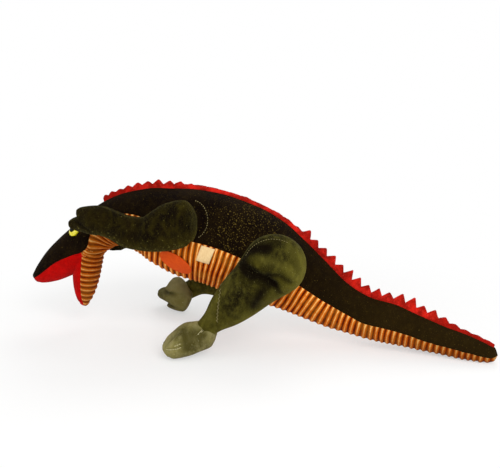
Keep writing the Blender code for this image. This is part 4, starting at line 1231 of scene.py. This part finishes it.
thread_finish = Finish("thread", roughness=0.8, sheen_weight=0.1)
twist = thread_finish.noise(1500, 2.0)
thread_finish.colour(thread_finish.mix(twist, paint("6e6232"), paint("a0945c")))
pale_thread = Finish("pale_thread", roughness=0.8, sheen_weight=0.1)
pale_thread.colour(pale_thread.mix(pale_thread.noise(1500, 2.0), paint("a89c68"), paint("d8d0a4")))
thread_radius = 0.32 * mm
longest_stitch = 6 * mm
zigzag_half = 1.1 * mm
well_outside = 0.3


def dashes(line, length, gap):
    """Pairs of ends for stitches of one length, evenly along a line of corners."""
    corners = np.array(line, float)
    steps = np.linalg.norm(np.diff(corners, axis=0), axis=1)
    marks = np.concatenate([[0], np.cumsum(steps)])
    starts = np.arange(0, marks[-1] - length, length + gap)
    spots = [[np.interp(place, marks, corners[:, axis]) for axis in (0, 1)]
             for start in starts for place in (start, start + length)]
    return list(zip(spots[::2], spots[1::2]))


def sew(name, cloth, ends, side, body, radius=thread_radius, thread=thread_finish):
    """Stitches on the outer side of a piece, from pairs of ends seen from that side."""
    target = bmesh.new()
    target.from_mesh(cloth.data)
    tree = BVHTree.FromBMesh(target)
    shape = bmesh.new()
    for first, last in ends:
        found = []
        for x, z in (first, last):
            spot, _, _, _ = tree.ray_cast(
                Vector((x, -side * well_outside, z)), Vector((0, side, 0))
            )
            found.append(spot)
        if None in found:
            continue
        way = found[1] - found[0]
        if way.length > longest_stitch:
            continue
        turn = way.to_track_quat("Z", "Y").to_matrix().to_4x4()
        middle = (found[0] + found[1]) / 2 + Vector((0, -side * radius * 0.5, 0))
        bmesh.ops.create_cone(
            shape, cap_ends=True, segments=6, radius1=radius, radius2=radius, depth=way.length,
            matrix=Matrix.Translation(middle) @ turn,
        )
    target.free()
    piece = finished(shape, name, [thread.material])
    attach(piece, body)
    return piece


def ring_line(centre, radius, degrees):
    """Corners along part of a circle round a joint, seen from the side."""
    x, _, z = centre
    return [(x + math.cos(turn) * radius, z + math.sin(turn) * radius) for turn in np.radians(degrees)]


stitch_circle = 23.5 * mm
hip_circle = 36.5 * mm
trunk_cloth = bpy.data.objects["body"]
for side, side_name, turn_degrees in ((1, "left", 0), (-1, "right", 28)):
    turns = np.linspace(78, -62, 40) + turn_degrees
    stitches = dashes(
        ring_line(joint_places["shoulder_" + side_name], stitch_circle, turns), 1.7 * mm, 1.3 * mm
    )
    sew("shoulder_stitches_" + side_name, trunk_cloth, stitches, side, "torso")
    if side > 0:
        hip_place = joint_places["hip_left"]
        leg_cloth = bpy.data.objects["leg_left"]
        rim = ring_line(hip_place, hip_circle, np.linspace(62, 160, 40))
        stitches = dashes(rim, 1.7 * mm, 1.5 * mm)
        sew("hip_stitches_left", leg_cloth, stitches, side, "leg_left", 0.25 * mm)
        foot_cloth = bpy.data.objects["foot_left"]
        stitches = sum([dashes(row, 2.0 * mm, 0.9 * mm) for row in foot_stitches], [])
        sew("foot_stitches_left", foot_cloth, stitches, side, "leg_left", 0.45 * mm, pale_thread)
        seam_x, seam_z = np.array(ankle_seam)[::-1].T
        heights = np.linspace(-0.010, -0.066, 26)
        zigzag = [
            (hip_place[0] + x + (zigzag_half if step % 2 else -zigzag_half), hip_place[2] + z)
            for step, (x, z) in enumerate(zip(np.interp(heights, seam_z, seam_x), heights))
        ]
        stitches = list(zip(zigzag, zigzag[1:]))
        sew("shin_stitches_left", leg_cloth, stitches, side, "leg_left", 0.25 * mm)

# Labels: a folded cream satin tape sewn into the left belly seam, and an oval hang tag of
# red laminated card beside it. Both are left blank.

label_finish = Finish("label_tape", roughness=0.55, sheen_weight=0.1)
threads = label_finish.noise(700, 3.0, (1, 1, 0.3))
label_finish.colour(label_finish.mix(threads, paint("d2a466"), paint("f6dca6")))
label_finish.bump(threads * 0.15)
tag_finish = Finish("tag_card", gloss=0.1, roughness=0.55, coat_weight=0.03, coat_roughness=0.3)
tag_finish.colour(tag_finish.mix(tag_finish.noise(300, 3.0), paint("bc3600"), paint("dc5606")))
tag_finish.bump(tag_finish.noise(500, 2.0) * 0.06)

label_corners = ((-0.0622, 0.1338), (-0.0446, 0.1292), (-0.0535, 0.1085), (-0.0695, 0.1138))
label_thickness = 0.5 * mm
tag_centre = (-0.0975, 0.1078)
tag_length = 46 * mm
tag_width = 24 * mm
tag_tilt_degrees = -32
tag_thickness = 0.8 * mm


def laid_flat(shape, bend_share, lift):
    """Moves points, given as x and z, out to a smooth sheet that just clears the belly."""
    target = bmesh.new()
    target.from_mesh(trunk_cloth.data)
    head = bmesh.new()
    head.from_mesh(bpy.data.objects["head_and_neck"].data)
    trees = [BVHTree.FromBMesh(target), BVHTree.FromBMesh(head)]
    spots = np.array([(vert.co.x, vert.co.z) for vert in shape.verts])
    depths = []
    for x, z in spots:
        hits = [tree.ray_cast(Vector((x, -well_outside, z)), Vector((0, 1, 0)))[0] for tree in trees]
        hits = [hit.y for hit in hits if hit]
        depths.append(min(hits) if hits else np.nan)
    depths = np.array(depths)
    known = ~np.isnan(depths)
    middle = spots.mean(axis=0)
    x, z = (spots - middle).T
    columns = np.stack([np.ones(len(x)), x, z, z * z * bend_share], 1)
    fit = columns @ np.linalg.lstsq(columns[known], depths[known], rcond=None)[0]
    fit += np.min((depths - fit)[known]) - lift
    for vert, depth in zip(shape.verts, fit):
        vert.co.y = depth
    target.free()
    head.free()


label_shape = bmesh.new()
bmesh.ops.create_grid(label_shape, x_segments=10, y_segments=14, size=0.5)
corners = [np.array(corner) for corner in label_corners]
for vert in label_shape.verts:
    u, v = vert.co.x + 0.5, vert.co.y + 0.5
    top = corners[0] * (1 - u) + corners[1] * u
    bottom = corners[3] * (1 - u) + corners[2] * u
    x, z = bottom * (1 - v) + top * v
    vert.co = (x, 0, z)
laid_flat(label_shape, 1.0, 0.2 * mm)
label = thick_sheet(label_shape, "care_tape", label_thickness, label_finish.material)

tag_shape = bmesh.new()
bmesh.ops.create_grid(tag_shape, x_segments=22, y_segments=22, size=1)
tilt = math.radians(tag_tilt_degrees)
for vert in tag_shape.verts:
    # the square grid is drawn in to a disc, and the disc to an oval
    u = vert.co.x * math.sqrt(1 - vert.co.y ** 2 / 2) * tag_length / 2
    v = vert.co.y * math.sqrt(1 - vert.co.x ** 2 / 2) * tag_width / 2
    vert.co = (
        tag_centre[0] + u * math.cos(tilt) - v * math.sin(tilt), 0,
        tag_centre[1] + u * math.sin(tilt) + v * math.cos(tilt),
    )
laid_flat(tag_shape, 1.0, 0.2 * mm)
tag = thick_sheet(tag_shape, "oval_tag", tag_thickness, tag_finish.material)
tag.data.set_sharp_from_angle(angle=cut_edge_angle)
for piece, node, slot in ((label, "care_label", "label_tape"), (tag, "hang_tag", "tag_card")):
    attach(piece, "torso")
    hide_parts(node)
